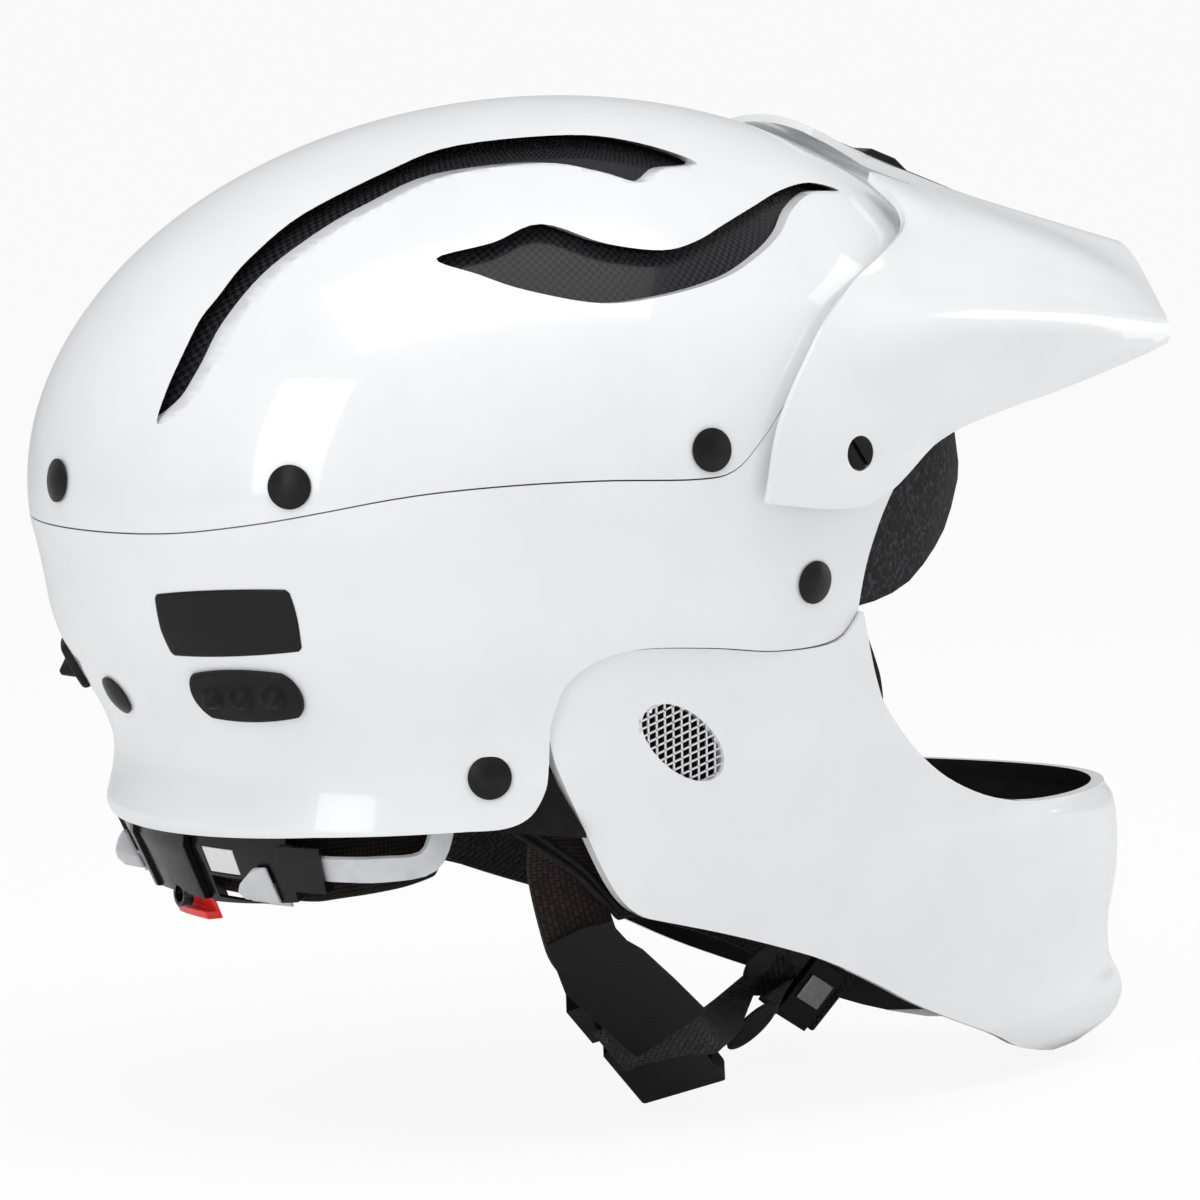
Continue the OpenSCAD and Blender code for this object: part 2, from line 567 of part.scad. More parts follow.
// Cheek cushion: its front edge shows past the eye port, its tail below the ear notch
cheek_pad_t = 8.5;
cheek_front = [[-76, 36], [-64, 50], [-50, 61], [-36, 67], [-23, 69], [-15, 65.5], [-6, 61.5], [2, 60]];
cheek_rear = [[-76, -9], [-62, -24], [-50, -42], [-44, -42], [-36, -34], [-28, -26], [-24, -6], [2, -5]];
function chin_angle(x, z, off) = x >= chin_mid
  ? acos(pow(min(1, (x - chin_mid)/(chin_reach + lookup(z, chin_front) - chin_mid - off)), chin_power/2))
  : acos(max(-1, (x - chin_mid)/half_len(min(z, 8), off)));
function cheek_place(u, v, d) = let (
    z = -76 + 78*v,
    x = lookup(z, cheek_rear) + u*(lookup(z, cheek_front) - lookup(z, cheek_rear)),
    p = chin_skin(-chin_angle(x, z, d), z, d))
  p;
module cheek_pad() color("black")
  cushion(function (u, v, d) cheek_place(u, v, d), chin_wall + 3.8, cheek_pad_t, 12, 14);

// Leather flap behind the ear notch
flap_t = 0.7;
flap_outline = [
  [-46, -24], [-38.9, -24], [-35.7, -33], [-26.5, -50], [-26, -51.6], [-47.5, -49.6], [-55, -46], [-50, -44]
];
module ear_flap() color("black") intersection() {
  skin_patch(-128, -98, function (t) -57, function (t) -22, shell_wall + 0.35, shell_wall + 0.35 + flap_t, 8, 6);
  side_prism(flap_outline, -reach/2, reach/2);
}

// Rear cradle: a plate bent round the nape, upright at the top and drawn in below its fold
fold_z = -57;
cradle_top = -51.5;
cradle_low = cradle_top - cradle_h + 4.5;
cradle_r = shell_half_wid - cradle_side_room;
cradle_x = lean(cradle_top) - half_len(cradle_top, shell_wall) + cradle_rear_room + cradle_r;
draw_slope = 9/19;
function cradle_out(z) = z > fold_z ? cradle_r : cradle_r + (z - fold_z)*draw_slope;
function cradle_at(a, z, depth) =
  [cradle_x - (cradle_out(z) - depth)*cos(a), (cradle_out(z) - depth)*sin(a), z];

// Part of the bent plate: plan angles a0 to a1 from the rear, levels low to top, between two depths
module cradle_part(a0, a1, low, top, depth_out, depth_in)
  translate([cradle_x, 0, 0]) rotate(180 - a1) rotate_extrude(angle = a1 - a0, $fn = 96) polygon(concat(
    [[cradle_out(low) - depth_in, low], [cradle_out(low) - depth_out, low]],
    low < fold_z && top > fold_z ? [[cradle_r - depth_out, fold_z]] : [],
    [[cradle_out(top) - depth_out, top], [cradle_out(top) - depth_in, top]],
    low < fold_z && top > fold_z ? [[cradle_r - depth_in, fold_z]] : []));

spine_arc = 9.4;
house_arc = 30;
loop_arc = 36.5;
knob_arc = 23;
knob_half = 3.2;
knob_neck = 2.4;
track_spare = 3.6;
track_mid_r = cradle_r - 5.3;
track = [knob_arc - knob_neck - track_spare - knob_travel*180/(PI*track_mid_r), 26.5, -71, -65];
plate_span = [12.2, 19.5, -64, -56.5];
plate_t = 0.6;

house_foot = [for (p = [[-5.5, -77], [31.5, -66], [31.5, -100], [-5.5, -100]]) p + [cradle_x - cradle_r, 0]];
module house_half() difference() {
  union() {
    cradle_part(spine_arc + 0.2, house_arc, cradle_low, cradle_top, 0, cradle_wall);
    cradle_part(house_arc - 1, loop_arc, -66.5, -54, -2, cradle_wall + 0.4);
  }
  cradle_part(track[0], track[1], track[2], track[3], -1, cradle_wall + 1);
  cradle_part(house_arc + 2, loop_arc + 1, band_low - 0.4, band_low + band_h + 0.4, -0.4, band_wall + 1);
  side_prism(house_foot);
}
module cradle_housing() color("#262626") {
  house_half();
  mirror([0, 1, 0]) difference() {
    house_half();
    cradle_part(plate_span[0], plate_span[1], plate_span[2], plate_span[3], -1, plate_t);
  }
}

module size_plate() color("white")
  cradle_part(-plate_span[1] + 0.15, -plate_span[0] - 0.15, plate_span[2] + 0.25, plate_span[3] - 0.25, 0.05, plate_t);

spine_hole_z = -72.5;
spine_hole_r = 2.3;
module cradle_spine() color("#1c1c1c") difference() {
  union() {
    cradle_part(-spine_arc, spine_arc, cradle_low + 2, -47, -1, cradle_wall);
    for (k = [-1, 1]) cradle_part(min(k*spine_arc, k*(spine_arc - 1.5)), max(k*spine_arc, k*(spine_arc - 1.5)),
      cradle_low + 2, -54, -2.2, cradle_wall - 1);
    translate([cradle_x - cradle_out(spine_hole_z) - 1.5, 0, spine_hole_z]) rotate([0, 90, 0])
      cylinder(r = 3.6, h = cradle_wall - 0.3, $fn = 48);
  }
  translate([cradle_x - cradle_out(spine_hole_z) - 10, 0, spine_hole_z]) rotate([0, 90, 0])
    cylinder(r = spine_hole_r, h = 20, $fn = 48);
}

// Red release tab behind the spine, pressed forward
tab_arc = 5.6;
tab_travel = 1.5;
module release_tab() color("red") union() {
  cradle_part(-tab_arc, tab_arc, -78, -69, cradle_wall + gap, cradle_wall + gap + 1.2);
  cradle_part(-tab_arc, tab_arc, -78.8, -76.5, -0.5, cradle_wall + gap + 1.2);
}

// Slide knob: a fin outside, a neck in the track and a keeper plate inside
knob_low = -70.7;
knob_top = -61;
fin_h = 5;
module knob() color("#c9cbcd") union() {
  cradle_part(-knob_arc - knob_half, -knob_arc + knob_half, knob_low, knob_top, -1.8, -gap);
  cradle_part(-knob_arc - knob_neck, -knob_arc + knob_neck, track[2] + 0.3, track[3] - 0.3, -1, cradle_wall + gap + 0.5);
  cradle_part(-knob_arc - knob_half, -knob_arc + knob_half, track[2] - 1.2, track[3] + 1.2,
    cradle_wall + gap, cradle_wall + gap + 1.2);
  for (i = [0:2]) cradle_part(-knob_arc - knob_half + i*1.5, -knob_arc - knob_half + 2 + i*1.9,
    knob_low + i*0.9, knob_top - i*0.7, -1.8 - fin_h*(i + 1)/3, -1);
}

// Flat strip along a path, with its width along dirs at each point
function strip_face(path, dirs, w, d) = [for (i = [0:len(path) - 1])
  let (n = unit(cross(pick(path, i + 1) - pick(path, i - 1), dirs[i])))
    [for (k = [-1, 0, 1]) path[i] + k*w/2*dirs[i] + d*n]];
module strip(points, dirs, w, thick, steps = 4) {
  path = smooth(points, steps);
  across = [for (v = smooth(dirs, steps)) unit(v)];
  sheet(strip_face(path, across, w, -thick/2), strip_face(path, across, w, thick/2));
}

// Grey bands from the cradle's loops up to their pivots on the shell
band_low = -63.2;
band_pivot_room = 9.4;
band_pivot = [-54, skin_y(-54, -8, shell_wall) - band_pivot_room, -8];
band_pin_r = 2;
band_eye_r = 5.5;
band_mid = band_low + band_h/2;
// A point beside the head, with this room to the right shell wall, and one between two others
function beside(x, z, room) = [x, -(skin_y(x, z, shell_wall) - room), z];
function between(a, b, along, across, z) = [a.x + (b.x - a.x)*along, a.y + (b.y - a.y)*across, z];
band_end = cradle_at(-39, band_mid, band_wall/2 + 0.4);
band_turn = beside(-59.2, -48, 6.4);
band_path = [
  cradle_at(-33, band_mid, band_wall/2 + 0.4), cradle_at(-36, band_mid, band_wall/2 + 0.4),
  band_end, between(band_end, band_turn, 0.377, 0.505, -59.5), between(band_end, band_turn, 0.84, 0.904, -57.5),
  band_turn, beside(-58.5, -37, 4.2), beside(-57, -24, 5.3),
  [band_pivot.x, -band_pivot.y, band_pivot.z - 4]
];
function loop_lean(a) = [-draw_slope*cos(a), -draw_slope*sin(a), 1];
band_dirs = [
  loop_lean(33), loop_lean(36), loop_lean(39), [-0.3, -0.2, 1], [-0.7, -0.1, 0.7], [-1, -0.1, 0.1],
  [-1, 0, 0], [-1, 0, 0.1], [-1, 0, 0.1]
];
module band() {
  strip(band_path, band_dirs, band_h, band_wall);
  translate([band_pivot.x, -band_pivot.y + band_wall/2, band_pivot.z]) rotate([90, 0, 0])
    cylinder(r = band_eye_r, h = band_wall, $fn = 48);
}
module cradle_bands() color("#d6d8da") both_sides() difference() {
  band();
  translate([band_pivot.x, -band_pivot.y + 5, band_pivot.z]) rotate([90, 0, 0])
    cylinder(r = band_pin_r + pin_play, h = 10, $fn = 48);
}
anchor_seat = skin_y(band_pivot.x - 4, band_pivot.z, shell_wall) - 0.6;
module cradle_anchors() color("#303030") both_sides()
  translate([band_pivot.x, -band_pivot.y, band_pivot.z]) rotate([90, 0, 0]) union() {
    translate([0, 0, band_wall/2 + gap])
      cylinder(r = 4, h = anchor_seat - band_pivot.y - band_wall/2 - gap, $fn = 48);
    translate([0, 0, -band_wall/2 - gap - 0.8]) cylinder(r = band_pin_r, h = 4, $fn = 48);
    translate([0, 0, -band_wall/2 - gap - 1.2]) cylinder(r = 3.6, h = 1.2, $fn = 48);
  }

// Cradle cushion along the inside of the housing and bands
cradle_pad_h = 19;
cradle_pad_t = 5;
cradle_pad_z = -61;
cradle_pad_gap = cradle_wall + gap + 1.2 + tab_travel + 0.4;
function pad_path_end(k) = let (
    a = cradle_at(30*k, cradle_pad_z - 0.5, cradle_pad_gap),
    b = [band_turn.x, -k*band_turn.y, 0])
  [between(a, b, 1.045, 0.856, -55), between(a, b, 0.747, 0.658, -57.5), between(a, b, 0.339, 0.316, -60)];
function cradle_pad_place(u, v, d) = let (
    arc = [for (a = [-30, -15, 0, 15, 30]) cradle_at(a, cradle_pad_z - 0.5, cradle_pad_gap)],
    ends = pad_path_end(-1),
    route = smooth(concat(pad_path_end(1), [for (k = [4:-1:0]) arc[k]], [ends[2], ends[1], ends[0]]), 4),
    n = len(route) - 1,
    i = u*n,
    c = pick(route, floor(i))*(1 - i + floor(i)) + pick(route, floor(i) + 1)*(i - floor(i)),
    f = unit(pick(route, floor(i) + 1) - pick(route, ceil(i) - 1)),
    outward = unit(cross(f, [0, 0, 1])),
    h = cradle_pad_h*(v - 0.5)*(0.7 + 0.3*swell(u)),
    sink = draw_slope*(max(0, fold_z - c.z - h) - max(0, fold_z - c.z)))
  c + [0, 0, h] - (d + sink)*outward;
module cradle_pad() color("#1b1b1b")
  cushion(function (u, v, d) cradle_pad_place(u, v, d), 0, cradle_pad_t, 30, 6);

// Chin strap. The buckle's frame has s along the strap, q across it and h outward
buckle_at = [15.6, -49.3, -113.4];
buckle_s = unit([0.695, 0.344, -0.631]);
buckle_h = unit(cross(buckle_s, [0.638, -0.699, 0.323]));
buckle_q = cross(buckle_h, buckle_s);
function in_buckle(s, q, h) = buckle_at + s*buckle_s + q*buckle_q + h*buckle_h;
module buckle_frame() multmatrix([
  [buckle_s.x, buckle_q.x, buckle_h.x, buckle_at.x],
  [buckle_s.y, buckle_q.y, buckle_h.y, buckle_at.y],
  [buckle_s.z, buckle_q.z, buckle_h.z, buckle_at.z],
  [0, 0, 0, 1]
]) children();

strap_pivot_room = 11.4;
strap_pivot = [-40, skin_y(-40, -30, shell_wall) - strap_pivot_room, -30];
strap_stud_r = 2;
plug_half = 12.5;
plug_high = 3.5;
plug_from = -23.5;
plug_to = -7;
socket_from = -1;
flap_h = plug_high + 1.2;
web_bend = [[-42.5, -strap_pivot.y, -27], [strap_pivot.x, -strap_pivot.y, strap_pivot.z],
  [-31, -strap_y(74.2), -38], [-23, -strap_y(72), -50], [-20.5, -strap_y(68.4), -65]];
web_dirs = [[0.75, 0, 0.66], [0.75, 0, 0.66], [0.8, -0.1, 0.5], [0.92, -0.2, 0.2], [0.95, -0.3, 0]];
right_path = concat(web_bend, [in_buckle(-50, 4.5, 2), in_buckle(-38, 2, 1),
  in_buckle(plug_from - 4, 0, 0), in_buckle(plug_from + 3, 0, 0)]);
right_dirs = concat(web_dirs, [[0.86, -0.42, 0.15], buckle_q, buckle_q, buckle_q]);

module stud_bore(side) translate([strap_pivot.x, side*strap_pivot.y + 10, strap_pivot.z]) rotate([90, 0, 0])
  cylinder(r = strap_stud_r + pin_play, h = 20, $fn = 48);
module webbing_right() color("#151515") difference() {
  strip(right_path, right_dirs, web_w, web_t, 3);
  stud_bore(-1);
}

cover_outline = [
  [-54, -4.5], [-34.5, -8.5], [-21, -6.5], [-0.5, -4], [2.7, -2.4], [4, 2.2], [0.2, 11], [-11.6, 21.5],
  [-26, 20], [-40, 18.3], [-43.7, 15], [-51, 13.5]
];
cover_t = 1.2;
module buckle_flap() color("#1d1b1d") buckle_frame()
  translate([0, 0, flap_h]) linear_extrude(cover_t) polygon(cover_outline);

// Side release buckle: a plug with two squeeze arms, whose lugs stand in the socket's side windows
arm_w = 2.4;
arm_half_h = 1.8;
arm_q = 8.6;
arm_root = plug_to - 2.8;
arm_len = 27;
lug_from = 12;
lug_to = 24;
lug_out = 4.9;
wall_gap = 0.5;
module plug_seats(r, h) for (k = [-1, 1]) translate([arm_root, k*arm_q, -h]) {
  cylinder(r = r, h = 2*h, $fn = 32);
  translate([0, -r - 0.2, 0]) cube([plug_to - arm_root + 1, 2*r + 0.4, 2*h]);
}
module buckle_plug() color("#101010") buckle_frame() difference() {
  translate([plug_from, -plug_half, -plug_high]) cube([plug_to - plug_from, 2*plug_half, 2*plug_high]);
  translate([plug_from - 1, -web_w/2 - gap, -web_t/2 - gap]) cube([8, web_w + 2*gap, web_t + 2*gap]);
  plug_seats(arm_w/2 + wall_gap, plug_high + 1);
}
module prong(k) color("#101010") buckle_frame() translate([arm_root, k*arm_q, -arm_half_h]) union() {
  cylinder(r = arm_w/2, h = 2*arm_half_h, $fn = 32);
  translate([0, -arm_w/2, 0]) cube([arm_len, arm_w, 2*arm_half_h]);
  linear_extrude(2*arm_half_h)
    polygon([[lug_from, 0], [lug_from + 2, k*(lug_out - 0.4)], [lug_to - 2, k*lug_out], [lug_to, 0]]);
}
socket_half = 12.5;
socket_high = 3.8;
socket_wall = 1.6;
socket_to = socket_from + socket_len;
module buckle_socket() color("#101010") buckle_frame() difference() {
  translate([socket_from, -socket_half, -socket_high]) cube([socket_len, 2*socket_half, 2*socket_high]);
  translate([socket_from - 1, -socket_half + socket_wall, -arm_half_h - wall_gap])
    cube([socket_len - 5, 2*(socket_half - socket_wall), 2*(arm_half_h + wall_gap)]);
  translate([arm_root + lug_from - 1, -socket_half - 1, -arm_half_h - wall_gap])
    cube([lug_to - lug_from + 3, 2*socket_half + 2, 2*(arm_half_h + wall_gap)]);
  translate([socket_to - 4, -web_w/2 - gap, -web_t/2 - gap]) cube([5, web_w + 2*gap, web_t + 2*gap]);
}

// Strap keeper with a plain plate, near the chin
keeper_at = [98.5, 1, -114];
keeper_s = unit([0.82, 0.35, -0.45]);
keeper_h = unit(cross(keeper_s, [0.55, -0.26, 0.8]));
keeper_q = cross(keeper_h, keeper_s);
function in_keeper(s, q, h) = keeper_at + s*keeper_s + q*keeper_q + h*keeper_h;
module keeper_frame() multmatrix([
  [keeper_s.x, keeper_q.x, keeper_h.x, keeper_at.x],
  [keeper_s.y, keeper_q.y, keeper_h.y, keeper_at.y],
  [keeper_s.z, keeper_q.z, keeper_h.z, keeper_at.z],
  [0, 0, 0, 1]
]) children();
keeper_len = 19;
keeper_wid = 22.4;
keeper_t = 7;
module keeper_block() keeper_frame() difference() {
  for (i = [0:2]) translate([-keeper_len/2 + i*0.8, -keeper_wid/2, -keeper_t/2 + i*keeper_t/3])
    cube([keeper_len - i*1.6, keeper_wid - i*1.4, keeper_t/3]);
  translate([-keeper_len, -web_w/2 - 0.4, -web_t/2 - 0.3]) cube([2*keeper_len, web_w + 0.8, web_t + 0.6]);
}
module strap_keeper() color("#101010") keeper_block();
plate_len = 11;
plate_wid = 8;
module keeper_plate() color("#9a9c9e") keeper_frame()
  translate([-plate_len/2, -plate_wid/2, keeper_t/2 + 0.02]) cube([plate_len, plate_wid, 0.8]);

left_low = [for (p = [[112, 22, -113], [103, 40, -101], [66, 57.5, -87], [26, 66.5, -73],
  [-4, 68.5, -60.5], [-23, 71.6, -50], [-31, 74.3, -38]]) [p.x, strap_y(p.y), p.z]];
left_low_dirs = [[0.5, 0.2, 0.8], [0.6, 0.4, 0.6], [0.5, 0.3, 0.8], [0.4, 0.2, 0.9], [0.6, 0.25, 0.75]];
left_path = concat(
  [in_buckle(socket_to - 3.5, 0, 0), in_buckle(socket_to, 0, 0), in_buckle(socket_to + 4, 0, 0),
   [47, -32, -127], [56, -24, -117], [70, -13, -105], in_keeper(-15, 0, 0), in_keeper(-10.5, 0, 0),
   in_keeper(-5, 0, 0), in_keeper(5, 0, 0), in_keeper(10.5, 0, 0), in_keeper(14, 0, 0)],
  left_low, [strap_pivot, [-42.5, strap_pivot.y, -27]]);
left_dirs = concat([buckle_q, buckle_q, buckle_q, [0.63, -0.6, 0.5], [0.6, -0.5, 0.65], [0.6, -0.4, 0.7],
  keeper_q, keeper_q, keeper_q, keeper_q, keeper_q, keeper_q],
  left_low_dirs, [[0.85, 0.1, 0.5], [0.8, 0.05, 0.55], [0.75, 0, 0.66], [0.75, 0, 0.66]]);
module webbing_left() color("#151515") difference() {
  strip(left_path, left_dirs, web_w, web_t, 3);
  stud_bore(1);
}

// Loose strap tails with leaf shaped ends
tail_w = 8.6;
leaf_t = 2;
tails = [[[-10, -4.5, 2.1], [-13.5, -9, 4], [-16, -14, 5]], [[-10, 5, 2.2], [-18, 3, 9], [-25, -1, 13.6]]];
leaves = [[-18, -17, 4.5], [-28.5, -2.5, 13.1]];
module strap_ends() color("#2a2a2a") for (i = [0:1]) {
  way = leaves[i] - tails[i][0];
  turn = atan2(way.y, way.x);
  last = sin(turn)*keeper_s - cos(turn)*keeper_q;
  strip([for (p = tails[i]) in_keeper(p.x, p.y, p.z)], [keeper_q, unit(keeper_q + last), last], tail_w, web_t, 3);
  keeper_frame() translate(leaves[i]) rotate(turn) linear_extrude(leaf_t) scale([9.5, 4.4]) circle(1, $fn = 48);
}

// Studs that carry the strap, on plates held by the two strap rivets
module strap_anchors() color("silver") for (k = [-1, 1]) {
  on_skin(k*strap_rivets[0][0], strap_rivets[0][1]) translate([0, 0, -shell_wall - 1.4 - 1.2]) difference() {
    cylinder(r = 4.4, h = 1.2, $fn = 48);
    translate([0, 0, -1]) cylinder(r = rivet_r + 0.05, h = 4, $fn = 24);
  }
  mirror([0, k > 0 ? 1 : 0, 0]) translate([strap_pivot.x, -strap_pivot.y, strap_pivot.z]) rotate([90, 0, 0]) union() {
    translate([0, 0, -web_t/2 - gap - 1]) cylinder(r = 4, h = 1, $fn = 48);
    translate([0, 0, -web_t/2 - gap - 0.5]) cylinder(r = strap_stud_r, h = 3, $fn = 48);
    translate([0, 0, web_t/2 + gap]) linear_extrude(1.2) polygon([
      [-14.5, -6], [-11, -9], [4, -4], [4, 4], [-4, 5], [-14.5, -1.5]]);
  }
}

upper_shell();
lower_shell();
carbon_shell();
chin_guard();
chin_mesh();  // chin_mesh_right
mirror([0, 1, 0]) chin_mesh();  // chin_mesh_left
visor();
visor_trim();
visor_screws();
visor_inserts();
rivets_upper();
rivets_lower();
rivet_washers();
grip_pad();  // grip_pad_right
mirror([0, 1, 0]) grip_pad();  // grip_pad_left
side_label();
crown_liner();
brow_liner();
nape_liner();
crown_pad();
ear_pad();  // ear_pad_right
mirror([0, 1, 0]) ear_pad();  // ear_pad_left
ear_flap();  // ear_flap_right
mirror([0, 1, 0]) ear_flap();  // ear_flap_left
cheek_pad();  // cheek_pad_right
mirror([0, 1, 0]) cheek_pad();  // cheek_pad_left
cradle_anchors();
cradle_housing();
cradle_spine();
cradle_bands();
cradle_pad();
size_plate();
knob();  // knob_right
mirror([0, 1, 0]) knob();  // knob_left
release_tab();
strap_anchors();
webbing_right();
webbing_left();
buckle_flap();
buckle_plug();
prong(1);  // prong_right
prong(-1);  // prong_left
buckle_socket();
strap_keeper();
keeper_plate();
strap_ends();
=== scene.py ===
import bpy
import bmesh
import math
from mathutils import Matrix, Vector


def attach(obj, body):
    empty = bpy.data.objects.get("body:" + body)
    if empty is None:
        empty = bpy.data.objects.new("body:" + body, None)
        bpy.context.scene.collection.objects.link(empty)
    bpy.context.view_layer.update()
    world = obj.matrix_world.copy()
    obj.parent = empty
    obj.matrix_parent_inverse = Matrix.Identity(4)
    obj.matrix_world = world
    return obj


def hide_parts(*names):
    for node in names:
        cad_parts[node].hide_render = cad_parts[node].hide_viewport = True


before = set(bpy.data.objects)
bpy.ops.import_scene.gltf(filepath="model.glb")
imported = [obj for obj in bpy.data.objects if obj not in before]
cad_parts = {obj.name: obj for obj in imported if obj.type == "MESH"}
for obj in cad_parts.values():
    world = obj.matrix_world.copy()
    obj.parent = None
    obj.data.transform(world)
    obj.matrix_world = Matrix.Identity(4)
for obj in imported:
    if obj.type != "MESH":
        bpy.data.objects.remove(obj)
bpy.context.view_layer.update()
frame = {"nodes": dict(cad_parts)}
node = frame["nodes"]


def add(owner, kind, **values):
    """Adds a node to a material or the world and sets its fields and inputs."""
    made = owner.node_tree.nodes.new("ShaderNode" + kind)
    for key, value in values.items():
        if key[0] == "_":
            setattr(made, key[1:], value)
        else:
            made.inputs[key.replace("_", " ")].default_value = value
    return made


def join(owner, *pairs):
    """Links outputs to inputs, each pair as (node, output, node, input)."""
    for a, out, b, into in pairs:
        owner.node_tree.links.new(a.outputs[out], b.inputs[into])


# The stage
# A white sweep to stand in for the photographer's table, with three soft boxes and a pale room.
# The camera looks at the helmet's right side from a little behind and a little above.
world = bpy.data.worlds.new("studio")
bpy.context.scene.world = world
world.use_nodes = True
world.node_tree.nodes.clear()
rays, mix = add(world, "LightPath"), add(world, "MixShader")
glow = add(world, "Background", Color=(0.98, 0.985, 1, 1), Strength=0.58)
white = add(world, "Background", Color=(1, 1, 1, 1), Strength=1)
join(world, (rays, "Is Camera Ray", mix, 0), (glow, 0, mix, 1), (white, 0, mix, 2),
     (mix, 0, add(world, "OutputWorld"), "Surface"))


def soft_box(name, place, aim, size, power):
    lamp = bpy.data.lights.new(name, "AREA")
    lamp.shape = "RECTANGLE"
    lamp.size, lamp.size_y = size
    lamp.energy = power
    piece = bpy.data.objects.new(name, lamp)
    piece.location = place
    piece.rotation_euler = (Vector(aim) - Vector(place)).to_track_quat("-Z", "Y").to_euler()
    bpy.context.scene.collection.objects.link(piece)


soft_box("soft_box_over", (-0.1, -0.5, 1.5), (0.03, 0, 0.05), (1.5, 0.9), 11)
soft_box("soft_box_behind", (-1.3, -0.75, 0.55), (-0.02, 0, 0), (0.5, 1.2), 4.5)
soft_box("soft_box_front", (1.5, -0.3, 0.5), (0.1, 0, 0), (0.6, 1.2), 4)

floor_level = -0.1375
floor_bm = bmesh.new()
bmesh.ops.create_grid(floor_bm, x_segments=1, y_segments=1, size=60)
bmesh.ops.translate(floor_bm, vec=(0, 0, floor_level), verts=floor_bm.verts)
floor_mesh = bpy.data.meshes.new("floor")
floor_bm.to_mesh(floor_mesh)
floor_bm.free()
floor = bpy.data.objects.new("floor", floor_mesh)
bpy.context.scene.collection.objects.link(floor)
paper = bpy.data.materials.new("white_paper")
paper.use_nodes = True
paper.node_tree.nodes.clear()
rays, mix, share = add(paper, "LightPath"), add(paper, "MixShader"), add(paper, "Math")
share.operation = "MULTIPLY"
share.inputs[1].default_value = 0.9
matt = add(paper, "BsdfDiffuse", Color=(0.9, 0.9, 0.9, 1))
glow = add(paper, "Emission", Color=(1, 1, 1, 1))
join(paper, (rays, "Is Camera Ray", share, 0), (share, 0, mix, 0), (matt, 0, mix, 1),
     (glow, 0, mix, 2), (mix, 0, add(paper, "OutputMaterial"), "Surface"))
floor_mesh.materials.append(paper)

look_at = Vector((0.03, 0, 0))
look_along = Vector((0.4973, 0.8612, -0.1045)).normalized()
camera_data = bpy.data.cameras.new("camera")
camera_data.sensor_width = 36
camera_data.lens = 194.4
camera_data.clip_start = 0.1
camera = bpy.data.objects.new("camera", camera_data)
camera.location = look_at - look_along * 1.8
camera.rotation_euler = look_along.to_track_quat("-Z", "Y").to_euler()
bpy.context.scene.collection.objects.link(camera)
bpy.context.scene.camera = camera
bpy.context.scene.view_settings.view_transform = "Standard"


# Crown shell
# The upper white shell is a blown and lacquered plastic bowl, 3 mm thick, with two long vents on
# each side. It is a leaning, stretched ball, given its wall and cut on the side view's outlines.
mm = 0.001
shell_half_len, shell_half_wid, crown_rise = 139, 109, 95
shell_mid, belt_z, crown_lean = 4, 45, 12
shell_wall = 3
carbon_off = 3.8


def smooth_run(a, b, c, d, steps):
    """Points from b up to c on the smooth curve through all four."""
    return [0.5 * (2*b + (c - a)*u + (2*a - 5*b + 4*c - d)*u*u + (3*b - a - 3*c + d)*u**3)
            for u in (k/steps for k in range(steps))]


def curve_through(points, steps):
    """Points on a smooth curve through the given ones."""
    spots = [Vector(p) for p in points]
    last = len(spots) - 1
    made = []
    for i in range(last):
        made += smooth_run(*(spots[min(max(i + k, 0), last)] for k in (-1, 0, 1, 2)), steps)
    return made + [spots[last]]


def curve_round(points, steps):
    """The same on a closed curve."""
    spots = [Vector(p) for p in points]
    made = []
    for i in range(len(spots)):
        made += smooth_run(*(spots[(i + k) % len(spots)] for k in (-1, 0, 1, 2)), steps)
    return made


def new_piece(name, bm, *materials, smooth=True):
    """Turns the bmesh, drawn in millimetres, into an object in the scene, in metres."""
    bmesh.ops.scale(bm, vec=(mm, mm, mm), verts=bm.verts)
    mesh = bpy.data.meshes.new(name)
    bm.to_mesh(mesh)
    bm.free()
    piece = bpy.data.objects.new(name, mesh)
    bpy.context.scene.collection.objects.link(piece)
    for material in materials:
        mesh.materials.append(material)
    if smooth:
        mesh.shade_smooth()
    return piece


def settle(piece):
    """Applies the piece's modifiers, in their order."""
    seen = piece.evaluated_get(bpy.context.evaluated_depsgraph_get())
    mesh = bpy.data.meshes.new_from_object(seen)
    old = piece.data
    piece.modifiers.clear()
    piece.data = mesh
    mesh.name = piece.name
    bpy.data.meshes.remove(old)


def block(rim, way):
    """A closed block: the face through the rim's points, drawn out by a vector."""
    bm = bmesh.new()
    face = bm.faces.new([bm.verts.new(p) for p in rim])
    grown = bmesh.ops.extrude_face_region(bm, geom=[face])
    bmesh.ops.translate(bm, vec=way,
                        verts=[v for v in grown["geom"] if isinstance(v, bmesh.types.BMVert)])
    bmesh.ops.recalc_face_normals(bm, faces=bm.faces)
    return new_piece("block", bm, smooth=False)


def side_block(outline, y0, y1):
    """A block over an outline of the side view, from depth y0 to y1."""
    return block([(p[0], y0, p[1]) for p in outline], (0, y1 - y0, 0))


def cut(piece, blocks, how="DIFFERENCE"):
    """Cuts the piece with the blocks, or keeps what lies in them, and removes them."""
    for other in blocks:
        saw = piece.modifiers.new("saw", "BOOLEAN")
        saw.operation = how
        saw.object = other
        saw.solver = "EXACT"
    settle(piece)
    for other in blocks:
        bpy.data.objects.remove(other)


